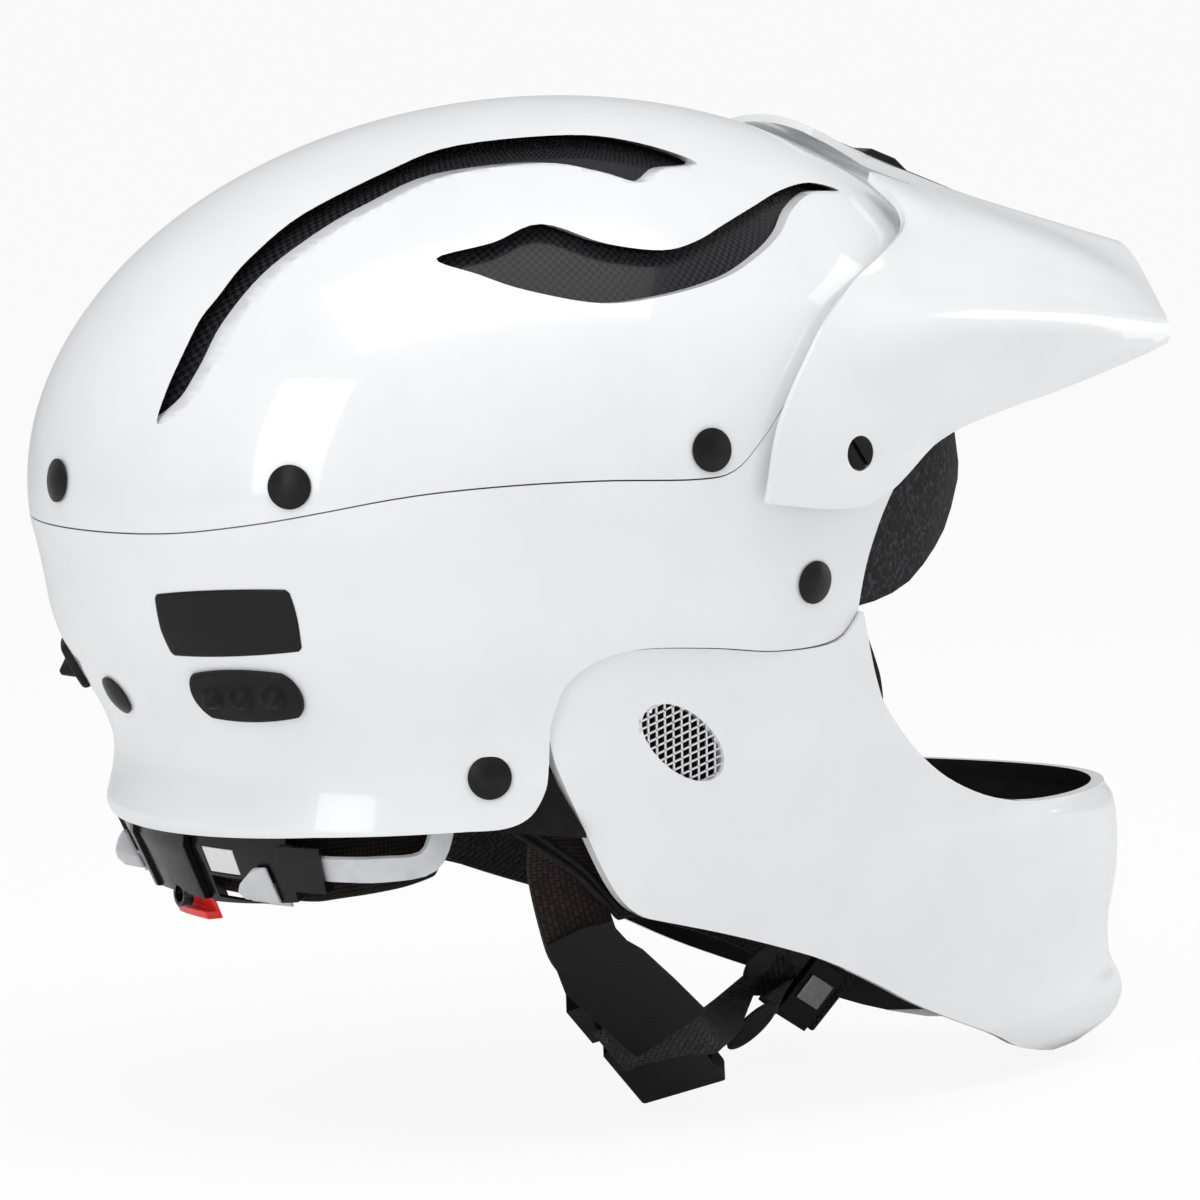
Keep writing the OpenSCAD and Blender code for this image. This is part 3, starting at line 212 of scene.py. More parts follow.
def ball(off, around=224, up=128):
    """The ball of the crown, a depth under its skin."""
    bm = bmesh.new()
    bmesh.ops.create_uvsphere(bm, u_segments=around, v_segments=up, radius=1)
    bmesh.ops.transform(bm, verts=bm.verts, matrix=Matrix((
        (shell_half_len - off, 0, crown_lean*(crown_rise - off)/crown_rise, shell_mid),
        (0, shell_half_wid - off, 0, 0),
        (0, 0, crown_rise - off, belt_z),
        (0, 0, 0, 1))))
    return bm


def keep_above(bm, low):
    """Drops what lies below a level."""
    bmesh.ops.bisect_plane(bm, geom=bm.verts[:] + bm.edges[:] + bm.faces[:], plane_co=(0, 0, low),
                           plane_no=(0, 0, -1), clear_outer=True)


def face_by(bm, share):
    """Turns the open skin's faces to the side on which the sum of their shares isn't negative."""
    bmesh.ops.recalc_face_normals(bm, faces=bm.faces)
    if sum(share(face) for face in bm.faces) < 0:
        bmesh.ops.reverse_faces(bm, faces=bm.faces)


def wall_in(piece, thick, inside=0):
    """Gives the open skin its wall, inwards."""
    wall = piece.modifiers.new("wall", "SOLIDIFY")
    wall.thickness = thick * mm
    wall.offset = -1
    wall.use_even_offset = True
    wall.material_offset = inside


def round_edges(piece, width, angle=40, segments=2):
    """Rounds the sharp edges and evens the shading beside them."""
    edge = piece.modifiers.new("edge", "BEVEL")
    edge.width = width * mm
    edge.segments = segments
    edge.limit_method = "ANGLE"
    edge.angle_limit = math.radians(angle)
    edge.use_clamp_overlap = True
    even = piece.modifiers.new("even", "WEIGHTED_NORMAL")
    even.weight = 80


seam = [(-150, 27.5), (-128, 28.5), (-111, 32), (-81, 39.5), (-57, 42.5), (-31, 43.5), (-3, 43),
        (8, 45), (17, 53), (28, 64), (48, 75), (75, 79), (110, 80), (155, 80)]
long_vent = [(-124.8, 58.2), (-120.6, 69), (-112.6, 82.4), (-106, 90.2), (-95.8, 100.2), (-79.6, 111.6),
             (-56, 122.4), (-35, 129), (-6, 131.5), (11, 129.4), (24, 124), (12, 122.8), (2.5, 119.5),
             (-7, 122.4), (-20, 124.6), (-44.6, 121.6), (-63.7, 114.3), (-79, 106.4), (-93.8, 96.2),
             (-106, 83.8), (-114, 71.8), (-119, 64)]
s_vent = [(-60, 101), (-45, 105), (-31, 109.5), (-17, 104.5), (-2, 102.5), (9, 104.5), (20, 108.5),
          (32, 112.5), (46, 116.5), (60, 118), (71, 115.5), (58, 115.5), (46, 111.5), (37, 105.5),
          (26, 100), (13, 95), (-6, 91), (-24, 89.5), (-42, 93), (-52, 97)]


def new_material(name, colour, roughness, **sockets):
    """A material with one principled shader, whose even values sit on its own sockets."""
    material = bpy.data.materials.new(name)
    material.use_nodes = True
    shader = material.node_tree.nodes["Principled BSDF"]
    shader.inputs["Base Color"].default_value = (*colour, 1)
    shader.inputs["Roughness"].default_value = roughness
    for socket, value in sockets.items():
        shader.inputs[socket.replace("_", " ")].default_value = value
    return material


def pattern(material, kind, **values):
    """Adds a texture node that is laid out by the object's own coordinates."""
    made = add(material, kind, **values)
    join(material, (add(material, "TexCoord"), "Object", made, "Vector"))
    return made


def bsdf(material):
    return material.node_tree.nodes["Principled BSDF"]


def relief(material, source, out, distance, strength=1.0):
    """Raises the surface by a pattern, in metres."""
    bump = add(material, "Bump", Distance=distance, Strength=strength)
    join(material, (source, out, bump, "Height"), (bump, "Normal", bsdf(material), "Normal"))


def shade(material, source, out, stops, into="Base Color"):
    """Colours the surface by a pattern through a ramp of (place, colour) stops."""
    ramp = add(material, "ValToRGB")
    band = ramp.color_ramp
    while len(band.elements) < len(stops):
        band.elements.new(0.5)
    for element, (place, colour) in zip(band.elements, stops):
        element.position = place
        element.color = (*colour, 1) if len(colour) == 3 else (colour[0],)*3 + (1,)
    join(material, (source, out, ramp, "Fac"), (ramp, "Color", bsdf(material), into))
    return ramp


def surface(name, colour, roughness, grain=None, cloud=None, tones=None, rough=None, **sockets):
    """A material with a fine raised grain (scale, detail, distance, strength) and a slow cloud
    (scale, detail) that varies its colour and roughness between (place, value) stops."""
    material = new_material(name, colour, roughness, **sockets)
    if grain:
        scale, detail, distance, strength = grain
        grit = pattern(material, "TexNoise", Scale=scale, Detail=detail)
        relief(material, grit, "Fac", distance, strength)
    if cloud:
        haze = pattern(material, "TexNoise", Scale=cloud[0], Detail=cloud[1])
        if tones:
            shade(material, haze, "Fac", tones)
        if rough:
            shade(material, haze, "Fac", [(place, (value,)) for place, value in rough], "Roughness")
    return material


white_lacquer = surface("white_lacquer", (0.88, 0.885, 0.89), 0.22, grain=(420, 2, 0.00001, 0.25),
                        cloud=(38, 4), tones=[(0.3, (0.865, 0.872, 0.88)), (0.6, (0.895, 0.897, 0.9))],
                        rough=[(0.3, 0.19), (0.7, 0.27)], Coat_Weight=0.9, Coat_Roughness=0.035)

crown_bm = ball(0)
keep_above(crown_bm, 15)
crown = new_piece("crown_shell", crown_bm, white_lacquer)
wall_in(crown, shell_wall)
settle(crown)
crown_base = [(p[0], p[2] + 0.4) for p in curve_through([(x, 0, z) for x, z in seam], 6)]
crown_cuts = [side_block(crown_base + [(260, 80), (260, -60), (-260, -60), (-260, 27)], -160, 160)]
vent_shift = 0.7
for vent in (long_vent, s_vent):
    line = [(p[0] + vent_shift, p[2] - vent_shift) for p in curve_round([(x, 0, z) for x, z in vent], 5)]
    crown_cuts += [side_block(line, -150, -12), side_block(line, 12, 150)]
cut(crown, crown_cuts)
round_edges(crown, 0.9, 45, 3)
settle(crown)
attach(crown, "shell")
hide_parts("upper_shell")

# Carbon shell
# A clear coated woven bowl under the crown, which shows through the vents. It is the same ball a
# little smaller, with a checked weave drawn along its own rings and ribs.
carbon_weave = new_material("carbon_weave", (0.02, 0.02, 0.022), 0.3, Coat_Weight=0.12,
                            Coat_Roughness=0.06, Specular_IOR_Level=0.2)
strip = add(carbon_weave, "UVMap", _uv_map="weave")
tow = add(carbon_weave, "TexChecker", Color1=(1, 1, 1, 1), Color2=(0, 0, 0, 1), Scale=1)
tow_soft = add(carbon_weave, "TexWave", Scale=0.5, Distortion=0.4)
tow_mix = add(carbon_weave, "Math", _operation="MULTIPLY")
join(carbon_weave, (strip, "UV", tow, "Vector"), (strip, "UV", tow_soft, "Vector"),
     (tow, "Fac", tow_mix, 0), (tow_soft, "Fac", tow_mix, 1))
shade(carbon_weave, tow, "Fac", [(0.2, (0.004, 0.004, 0.005)), (0.8, (0.016, 0.016, 0.018))])
shade(carbon_weave, tow, "Fac", [(0.2, (0.22,)), (0.8, (0.5,))], "Roughness")
relief(carbon_weave, tow_mix, 0, 0.00008, 0.6)

carbon_bm = ball(carbon_off, 160, 96)
keep_above(carbon_bm, 48)
weave = carbon_bm.loops.layers.uv.new("weave")
tow_wide, weave_mid = 1.3, 10
for face in carbon_bm.faces:
    middle = face.calc_center_median()
    face_turn = math.atan2(middle.y, middle.x - weave_mid)
    for loop in face.loops:
        p = loop.vert.co
        turn = math.atan2(p.y, p.x - weave_mid)
        if abs(turn - face_turn) > 3:
            turn += math.copysign(math.tau, face_turn)
        rise = math.asin(min(1, (p.z - belt_z)/(crown_rise - 4)))
        loop[weave].uv = (turn * 100 / tow_wide, rise * 95 / tow_wide)
carbon = new_piece("carbon_shell_skin", carbon_bm, carbon_weave)
wall_in(carbon, 2.4)
settle(carbon)
carbon_front = [(30, 62), (70, 72), (220, 76), (220, 30), (30, 30)]
cut(carbon, [side_block(carbon_front, -160, 160)])
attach(carbon, "shell")
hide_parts("carbon_shell")

# Side shell
# The lower white shell runs from the brow round the ears to the nape in one moulding, 3 mm thick.
# It is built up ring by ring, and cut on the same side view lines as its neighbours.
skirt_drop = 17
nape_profile = [(17, 0.984), (28, 0.963), (42, 0.942), (50, 0.92), (62, 0.868), (70, 0.833),
                (78, 0.811), (85, 0.811), (91, 0.82), (95, 0.826), (98, 0.819), (102, 0.798)]


def along(table, x):
    """Reads a table of (x, y) pairs, straight between them."""
    if x <= table[0][0]:
        return table[0][1]
    for (x0, y0), (x1, y1) in zip(table, table[1:]):
        if x <= x1:
            return y0 + (y1 - y0)*(x - x0)/(x1 - x0)
    return table[-1][1]


def ring_at(z, off=0):
    """Middle, half length and half width of the skin at a level."""
    middle = shell_mid + crown_lean*max(z - belt_z, -skirt_drop)/crown_rise
    if z > belt_z - skirt_drop:
        arch = math.sqrt(max(0, 1 - ((z - belt_z)/(crown_rise - off))**2))
        return middle, (shell_half_len - off)*arch, (shell_half_wid - off)*arch
    share = along(nape_profile, belt_z - z)
    first = nape_profile[0][1]
    return middle, shell_half_len*share - off, shell_half_wid*(first - 0.6*(first - share)) - off


def stack_rings(rings, around):
    """An open skin of rings, each (level, function of the turn giving x and y), by extruding up."""
    bm = bmesh.new()
    bmesh.ops.create_circle(bm, segments=around, radius=1)
    ring = bm.verts[:]
    turns = [math.atan2(v.co.y, v.co.x) for v in ring]
    for step, (z, place_at) in enumerate(rings):
        if step:
            edges = [e for e in bm.edges if e.verts[0] in ring_set and e.verts[1] in ring_set]
            grown = bmesh.ops.extrude_edge_only(bm, edges=edges)
            fresh = {v for v in grown["geom"] if isinstance(v, bmesh.types.BMVert)}
            ring = [next(e.other_vert(v) for e in v.link_edges if e.other_vert(v) in fresh)
                    for v in ring]
        for v, turn in zip(ring, turns):
            v.co = (*place_at(turn), z)
        ring_set = set(ring)
    face_by(bm, lambda f: (f.calc_center_median() * Vector((1, 1, 0))).dot(f.normal))
    return bm


levels = [-57, -53.5, -50, -46, -40, -33, -25, -18, -12, -5, 3, 11, 20, 28, 40, 50, 60, 70, 80]
side_rings = []
for ring in curve_through([(z, *ring_at(z)[1:]) for z in levels], 4):
    level, long, wide = ring
    side_rings.append((level, lambda t, m=ring_at(level)[0], a=long, b=wide:
                       (m + a*math.cos(t), b*math.sin(t))))
brow_edge = [(155, 66.5), (125, 65.5), (100, 62), (78, 52.5), (65, 38), (57, 20), (54, 5)]
chin_seam = [(54, 5), (46, -2.5), (26, -4), (6, -2), (-13, -1), (-23, -2), (-31, -5), (-36.5, -11),
             (-38.3, -21)]
ear_notch = [(-37.4, -31), (-38, -38), (-42, -44.8), (-48.5, -48), (-58, -48.7)]
nape_edge = [(-58, -48.7), (-90, -51), (-120, -54.6), (-155, -58)]


def side_line(points, steps=5):
    return [(p[0], p[2]) for p in curve_through([(x, 0, z) for x, z in points], steps)]


side = new_piece("side_shell", stack_rings(side_rings, 200), white_lacquer)
wall_in(side, shell_wall)
settle(side)
cut(side, [side_block(side_line(seam, 6) + side_line(brow_edge) + side_line(chin_seam)[1:]
                      + side_line(ear_notch) + nape_edge[1:], -160, 160)], "INTERSECT")
round_edges(side, 0.7, 45, 3)
settle(side)
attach(side, "shell")
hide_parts("lower_shell")

# Chin guard
# The jaw piece is a separate white moulding, 3.5 mm thick, with an oval mesh port on each cheek
# and a black lined lip in front of the mouth. Its rings are squarer in front than behind.
chin_reach, chin_low, chin_wall, chin_mid, chin_power = 198, -133, 3.5, 5, 1.85
jaw_level = -57
chin_levels = [-131, -126, -120, -115, -108, -97, -85, -73, -63, -57, -46, -34, -22, -10, 0, 8]
chin_front = [(-131, -8), (-126, 1), (-120, 4), (-115, 3), (-108, -1), (-97, -2), (-85, 0), (-73, 0),
              (-63, -2), (-57, -6), (8, -6)]
chin_side = [(-131, 66), (-120, 73), (-108, 77), (-85, 83), (-57, 90), (-34, 95.5), (-22, 97.5),
             (-5, 101.5), (8, 104)]


def chin_ring(z, off=0):
    """Reach in front of and behind the ring's middle, and its half width."""
    return (chin_reach + along(chin_front, z) - chin_mid - off, ring_at(min(z, 8), off)[1],
            along(chin_side, z) - off)


def chin_at(turn, front, back, wide):
    c, s = math.cos(turn), math.sin(turn)
    if c < 0:
        return chin_mid + back*c, wide*s
    return chin_mid + front*abs(c)**(2/chin_power), wide*math.copysign(abs(s)**(2/chin_power), s)


chin_rings = []
for ring in curve_through([(z, *chin_ring(z)) for z in chin_levels], 4):
    low = ring[0]
    if low <= jaw_level:
        low = jaw_level + (low - jaw_level)*(chin_low - jaw_level)/(chin_levels[0] - jaw_level)
    chin_rings.append((low, lambda t, r=tuple(ring)[1:]: chin_at(t, *r)))
eye_edge = [(54, 5), (58, -6), (62, -15), (67, -23), (80, -36), (97, -46.5), (120, -54),
            (150, -57), (215, -58)]
chin_edge = [(215, -142), (150, -131), (125, -122), (95, -110.5), (76, -101.5), (57, -93), (39, -87),
             (20, -81.5), (3, -77.2), (-4, -75.5)]
chin_back = [(-4, -75.5), (-10.5, -72), (-17, -64.5), (-25.5, -50), (-34.8, -32.5), (-38.3, -21)]

lining_black = surface("lining_black", (0.012, 0.012, 0.013), 0.55, grain=(900, 3, 0.00006, 0.4),
                       cloud=(90, 4),
                       tones=[(0.35, (0.008, 0.008, 0.009)), (0.7, (0.018, 0.018, 0.019))],
                       Specular_IOR_Level=0.25)
chin = new_piece("chin_guard_shell", stack_rings(chin_rings, 200), white_lacquer, lining_black)
wall_in(chin, chin_wall, 1)
settle(chin)
seam_line = side_line(chin_seam)
cut(chin, [side_block(side_line(chin_edge) + side_line(chin_back)[1:]
                      + [(x + 0.2, z - 0.4) for x, z in reversed(seam_line[:-1])]
                      + [(x + 0.2, z) for x, z in side_line(eye_edge)[1:]], -160, 160)], "INTERSECT")
port_at = (-0.1, -27.4)
port_tilt, port_long, port_short = math.radians(37), 15.2, 7.5


def port_ring(grow, around=64):
    """The oval of a cheek port on the side view."""
    made = []
    for k in range(around):
        a = math.tau * k / around
        u, v = (port_long + grow)*math.cos(a), (port_short + grow)*math.sin(a)
        made.append((port_at[0] + u*math.cos(port_tilt) + v*math.sin(port_tilt),
                     port_at[1] - u*math.sin(port_tilt) + v*math.cos(port_tilt)))
    return made


def run_through(bm, rings):
    """A closed solid through rings of as many points: the first ring's face is extruded from ring
    to ring. Returns each vertex's ring and its place on it."""
    face = bm.faces.new([bm.verts.new(p) for p in rings[0]])
    where = {v: (0, k) for k, v in enumerate(face.verts)}
    for step, ring in enumerate(rings[1:], 1):
        spot = {v.co.to_tuple(): where[v][1] for v in face.verts}
        grown = bmesh.ops.extrude_face_region(bm, geom=[face])
        left = face
        face = next(g for g in grown["geom"] if isinstance(g, bmesh.types.BMFace))
        if step > 1:
            bmesh.ops.delete(bm, geom=[left], context="FACES_ONLY")
        for v in face.verts:
            where[v] = (step, spot[v.co.to_tuple()])
        for v in face.verts:
            v.co = ring[where[v][1]]
    bmesh.ops.recalc_face_normals(bm, faces=bm.faces)
    return where


cut(chin, [side_block(port_ring(0), -130, -60), side_block(port_ring(0), 60, 130)])
round_edges(chin, 1.1, 45, 4)
settle(chin)
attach(chin, "shell")
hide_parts("chin_guard")

# Ports
# Each cheek port is closed by a flat piece of expanded aluminium mesh, left bright. It is two
# families of crossing strands, laid just under the skin, that end a little past the port's oval.
bright_mesh = surface("bright_mesh", (0.78, 0.78, 0.79), 0.34, grain=(900, 3, 0.00003, 0.4),
                      cloud=(900, 3), rough=[(0.35, 0.28), (0.7, 0.46)], Metallic=0.85)


def strand(bm, a, b, half, deep, place):
    """One flat strand between two points of the mesh's plane."""
    side = Vector((a[1] - b[1], b[0] - a[0])).normalized()*half
    corners = ((-1, 0), (1, 0), (1, deep), (-1, deep))
    run_through(bm, [[place(p[0] + side.x*k, p[1] + side.y*k, d) for k, d in corners] for p in (a, b)])


def mesh_place(x, z, deep):
    """A point of the mesh's plane, a little under the skin and leaning with it."""
    low, mid, high = (chin_ring(port_at[1] + k)[2] for k in (-12, 0, 12))
    return Vector((x, -(mid - 1.3 - deep + (high - low)/24*(z - port_at[1])), z))


strand_half, strand_deep, port_lap, probe_step = 0.27, 0.5, 0.9, 0.05
port_bm = bmesh.new()
for slope, pitch in ((math.radians(21), 2.15), (math.radians(-82), 2.5)):
    way = Vector((math.cos(slope), math.sin(slope)))
    over = Vector((-way.y, way.x))
    for step in range(-9, 10):
        inside = []
        for k in range(-400, 401):
            p = way*k*probe_step + over*step*pitch
            u = p.x*math.cos(port_tilt) - p.y*math.sin(port_tilt)
            v = p.x*math.sin(port_tilt) + p.y*math.cos(port_tilt)
            if (u/(port_long + port_lap))**2 + (v/(port_short + port_lap))**2 < 1:
                inside.append(p)
        if len(inside) > 20:
            ends = [(port_at[0] + p.x, port_at[1] + p.y) for p in (inside[0], inside[-1])]
            strand(port_bm, *ends, strand_half, strand_deep, mesh_place)
bmesh.ops.recalc_face_normals(port_bm, faces=port_bm.faces)
port_copy = port_bm.copy()
mirror = Matrix.Scale(-1, 4, (0, 1, 0))
bmesh.ops.transform(port_copy, matrix=mirror, verts=port_copy.verts)
bmesh.ops.reverse_faces(port_copy, faces=port_copy.faces)
for bm, hand in ((port_bm, "right"), (port_copy, "left")):
    piece = new_piece("chin_mesh_" + hand + "_net", bm, bright_mesh, smooth=False)
    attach(piece, "shell")
    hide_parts("chin_mesh_" + hand)


def dress(name, material, bevel=0.0, angle=30, segments=2):
    """Gives a drawn part its finish and rounds its edges."""
    part = node[name]
    part.data.materials.clear()
    part.data.materials.append(material)
    if bevel:
        weld = part.modifiers.new("weld", "WELD")
        weld.merge_threshold = 0.000002
        part.data.shade_smooth()
        round_edges(part, bevel, angle, segments)
    return part


# Visor
# A white lacquered peak, 2.2 mm thick, whose arms reach back over the shell to two screws. Its top
# has a deep notch on each side of the bridge, and a crease runs along the side to the lip.
visor_off = -3.4
visor_ribs = [
    [(82, 0, -1), (106, 0, 122.5), (136, 0, 111.5), (168, 0, 102), (196, 0, 94)],
    [(82, 12, -1), (106, 12, 121.5), (136, 12, 110.5), (167, 12, 101.5), (194.5, 12, 94)],
    [(83, 26, -1), (104, 26, 117.5), (133, 26, 108), (164, 26, 98), (190.5, 26, 89.5)],
    [(84, 52, -1), (105, 54, 108), (129, 54, 101.5), (157, 53, 92), (179.5, 50, 82)],
    [(86, 66, -1), (103, 70, 98.5), (125, 70, 92.5), (150, 68, 85.5), (173, 63.5, 78.5)],
    [(54, -1, 92), (84, 87, 89), (112, 83, 86), (143, 77.5, 81.5), (170, 70.5, 76.5)],
    [(37, -1, 80), (70, 99.5, 80.5), (103, 92.5, 79.5), (137, 84.5, 78), (167, 75, 75.5)],
    [(20, -1, 58), (58, -1, 60), (100, 92.5, 67), (137, 85, 70.5), (167, 75.5, 73.5)],
    [(15, -1, 36.5), (50, -1, 34.5), (78, -1, 50), (120, 88, 60.5), (165.5, 76.5, 71)]]


def on_shell(p, off):
    """Lays a visor point with a missing breadth or level on the shell."""
    x, y, z = p
    if y < 0:
        middle, long, wide = ring_at(z, off)
        return x, wide*math.sqrt(max(0, 1 - ((x - middle)/long)**2)), z
    if z < 0:
        long = shell_half_len - off
        k = 1 + (crown_lean/long)**2
        m = (x - shell_mid)*crown_lean/long**2
        r = ((x - shell_mid)/long)**2 + (y/(shell_half_wid - off))**2 - 1
        return x, y, belt_z + (crown_rise - off)*(m + math.sqrt(m*m - k*r))/k
    return p


def off_shell(p, off):
    """Moves a point out until it clears the crown by off."""
    share = Vector(((p[0] - shell_mid - crown_lean*(p[2] - belt_z)/crown_rise)/(shell_half_len - off),
                    p[1]/(shell_half_wid - off), (p[2] - belt_z)/(crown_rise - off))).length
    centre = Vector((shell_mid, 0, belt_z))
    return centre + (Vector(p) - centre)/min(1, share)


steps = 8
lengthwise = [curve_through([on_shell(p, visor_off) for p in rib], steps) for rib in visor_ribs]
crosswise = [[off_shell(p, visor_off) for p in curve_through([rib[j] for rib in lengthwise], steps)]
             for j in range(len(lengthwise[0]))]
visor_bm = bmesh.new()
across, deep = 2*(len(crosswise[0]) - 1), len(crosswise) - 1
bmesh.ops.create_grid(visor_bm, x_segments=across, y_segments=deep, size=1)
for v in visor_bm.verts:
    i = round((v.co.x + 1)/2*across) - across//2
    j = round((v.co.y + 1)/2*deep)
    p = crosswise[j][abs(i)]
    v.co = (p[0], -p[1] if i < 0 else p[1], p[2])
face_by(visor_bm, lambda f: f.normal.z)
visor = new_piece("visor_peak", visor_bm, white_lacquer)
wall_in(visor, 2.2)
visor.modifiers["wall"].offset = 1
settle(visor)


notch = [(70, 27), (70, 60), (85, 52), (137, 19), (132, 17)]
notch_from, notch_tall = 95, 60
screw_x, screw_z, screw_hole = 46, 48, 4.7
visor_cuts = [block([(x, way*y, notch_from) for x, y in notch], (0, 0, notch_tall))
              for way in (1, -1)]
for way in (-1, 1):
    hole = [(screw_x + screw_hole*math.cos(a), screw_z + screw_hole*math.sin(a))
            for a in (math.tau*k/48 for k in range(48))]
    visor_cuts.append(side_block(hole, way*95, way*130))
cut(visor, visor_cuts)
round_edges(visor, 0.8, 45, 3)
settle(visor)
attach(visor, "visor")
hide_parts("visor")

# Visor trim and screws
# A satin black bar with a raised step lies along the bridge. The two slotted screws at the visor's
# arms are the same moulded black, and turn in metal inserts behind the shell.
satin_black = surface("satin_black", (0.006, 0.006, 0.007), 0.36, grain=(2600, 3, 0.00003, 0.35),
                      cloud=(160, 5),
                      tones=[(0.35, (0.0035, 0.0035, 0.004)), (0.7, (0.009, 0.009, 0.0095))],
                      rough=[(0.3, 0.3), (0.7, 0.43)], Specular_IOR_Level=0.26)
plain_metal = surface("plain_metal", (0.55, 0.55, 0.57), 0.35, cloud=(700, 3),
                      rough=[(0.3, 0.28), (0.7, 0.48)], Metallic=1)
dress("visor_trim", satin_black, 0.5)
dress("visor_screws", satin_black, 0.35)
for name in ("visor_inserts", "rivet_washers", "strap_anchors"):
    dress(name, plain_metal, 0.15)

# Rivets
# Satin black domed caps hold the two shells together, five on the crown and five below.
# They keep their drawn shape, with a softer rim.
for name in ("rivets_upper", "rivets_lower"):
    dress(name, satin_black, 0.45, 35, 3)

# Grip pads
# A soft rubber stadium behind each ear, with three cones that hold a goggle strap. Each is laid on
# the shell's own curve and rounded all over; the cones are turned and drawn to a blunt point.
soft_rubber = surface("soft_rubber", (0.01, 0.01, 0.011), 0.55, grain=(1800, 4, 0.00005, 0.4),
                      cloud=(130, 4),
                      tones=[(0.35, (0.006, 0.006, 0.007)), (0.75, (0.015, 0.015, 0.016))],
                      Specular_IOR_Level=0.22)


def skin_at(t, z):
    """A point of the shells' skin at a plan angle in degrees and a level."""
    middle, long, wide = ring_at(z)
    return Vector((middle + long*math.cos(math.radians(t)), wide*math.sin(math.radians(t)), z))


def skin_normal(t, z):
    over = skin_at(t, z + 1.5) - skin_at(t, z - 1.5)
    return (skin_at(t + 1.5, z) - skin_at(t - 1.5, z)).cross(over).normalized()


def skin_point(t, z, off):
    """The same, a depth under the skin."""
    return skin_at(t, z) - off*skin_normal(t, z)


def skin_patch(bm, t_mid, half_arc, z_mid, half_long, half_high, corner, thick, under=0.0, tilt=0.0,
               around=64):
    """A rounded patch on the skin: an inset fan of rings, with a crowned rim of the given thickness."""
    arc = half_long/half_arc
    def edge(a):
        c, s = math.cos(a), math.sin(a)
        u = (half_long - corner)*max(-1, min(1, 1.8*c)) + corner*c
        v = (half_high - corner)*max(-1, min(1, 1.8*s)) + corner*s
        return u, v
    loops = []
    depths = [(1.0, under), (1.0, -thick*0.55), (0.985, -thick*0.85), (0.955, -thick), (0.7, -thick),
              (0.35, -thick)]
    for share, off in depths:
        ring = []
        for k in range(around):
            u, v = edge(math.tau*k/around)
            if share > 0.9:
                u -= (1 - share)*17*math.copysign(min(1, abs(u)/6), u)
                v -= (1 - share)*17*math.copysign(min(1, abs(v)/3), v)
            else:
                u, v = u*share, v*share
            u, v = u*math.cos(tilt) - v*math.sin(tilt), u*math.sin(tilt) + v*math.cos(tilt)
            ring.append(bm.verts.new(skin_point(t_mid + u/arc, z_mid + v, off)))
        loops.append(ring)
    for a, b in zip(loops, loops[1:]):
        for k in range(around):
            bm.faces.new((a[k], a[(k + 1) % around], b[(k + 1) % around], b[k]))
    bm.faces.new(loops[-1])
    bm.faces.new(list(reversed(loops[0])))


def mirror_y(bm):
    """Turns the bmesh into its mirror image across the middle plane."""
    bmesh.ops.scale(bm, vec=(1, -1, 1), verts=bm.verts)
    bmesh.ops.reverse_faces(bm, faces=bm.faces)


def both_sides(piece):
    """The finished right piece and its mirror image across the middle plane, with their hands."""
    bm = bmesh.new()
    bm.from_mesh(piece.data)
    mirror_y(bm)
    bmesh.ops.scale(bm, vec=(1/mm, 1/mm, 1/mm), verts=bm.verts)
    other = new_piece(piece.name.replace("right", "left"), bm, *piece.data.materials)
    return (piece, "right"), (other, "left")


rear_turn, grip_level = -150.6, -13.1
cone_step, cone_rise = 4.95, 0.46
for way, hand in ((-1, "right"), (1, "left")):
    bm = bmesh.new()
    skin_patch(bm, rear_turn, 8.7, grip_level, 15.5, 6.9, 6.5, 2.4, under=-0.1, tilt=math.radians(3))
    for i in (-1, 0, 1):
        t = rear_turn + i*cone_step
        level = grip_level + i*cone_rise
        out = skin_normal(t, level)
        stand = Matrix.Translation(skin_point(t, level, -1.6))
        stand = stand @ out.to_track_quat("Z", "Y").to_matrix().to_4x4()
        bmesh.ops.create_cone(bm, cap_ends=True, segments=40, radius1=3.9, radius2=0.7, depth=4.4,
                              matrix=stand @ Matrix.Translation((0, 0, 2.2)))
    bmesh.ops.recalc_face_normals(bm, faces=bm.faces)
    if way > 0:
        mirror_y(bm)
    pad = new_piece("grip_pad_" + hand + "_moulding", bm, soft_rubber)
    round_edges(pad, 0.35, 35, 2)
    settle(pad)
    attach(pad, "shell")
    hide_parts("grip_pad_" + hand)

# Side label
# A plain black vinyl patch with round corners on the right side, left blank.
black_vinyl = surface("black_vinyl", (0.006, 0.006, 0.007), 0.34, grain=(240, 4, 0.00002, 0.3),
                      cloud=(240, 4), rough=[(0.3, 0.28), (0.7, 0.4)], Specular_IOR_Level=0.25)
bm = bmesh.new()
skin_patch(bm, rear_turn, 10.6, 6.1, 19.4, 8.8, 3.6, 0.45, under=-0.1, tilt=math.radians(4.6))
bmesh.ops.recalc_face_normals(bm, faces=bm.faces)
label = new_piece("side_label_patch", bm, black_vinyl)
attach(label, "shell")
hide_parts("side_label")

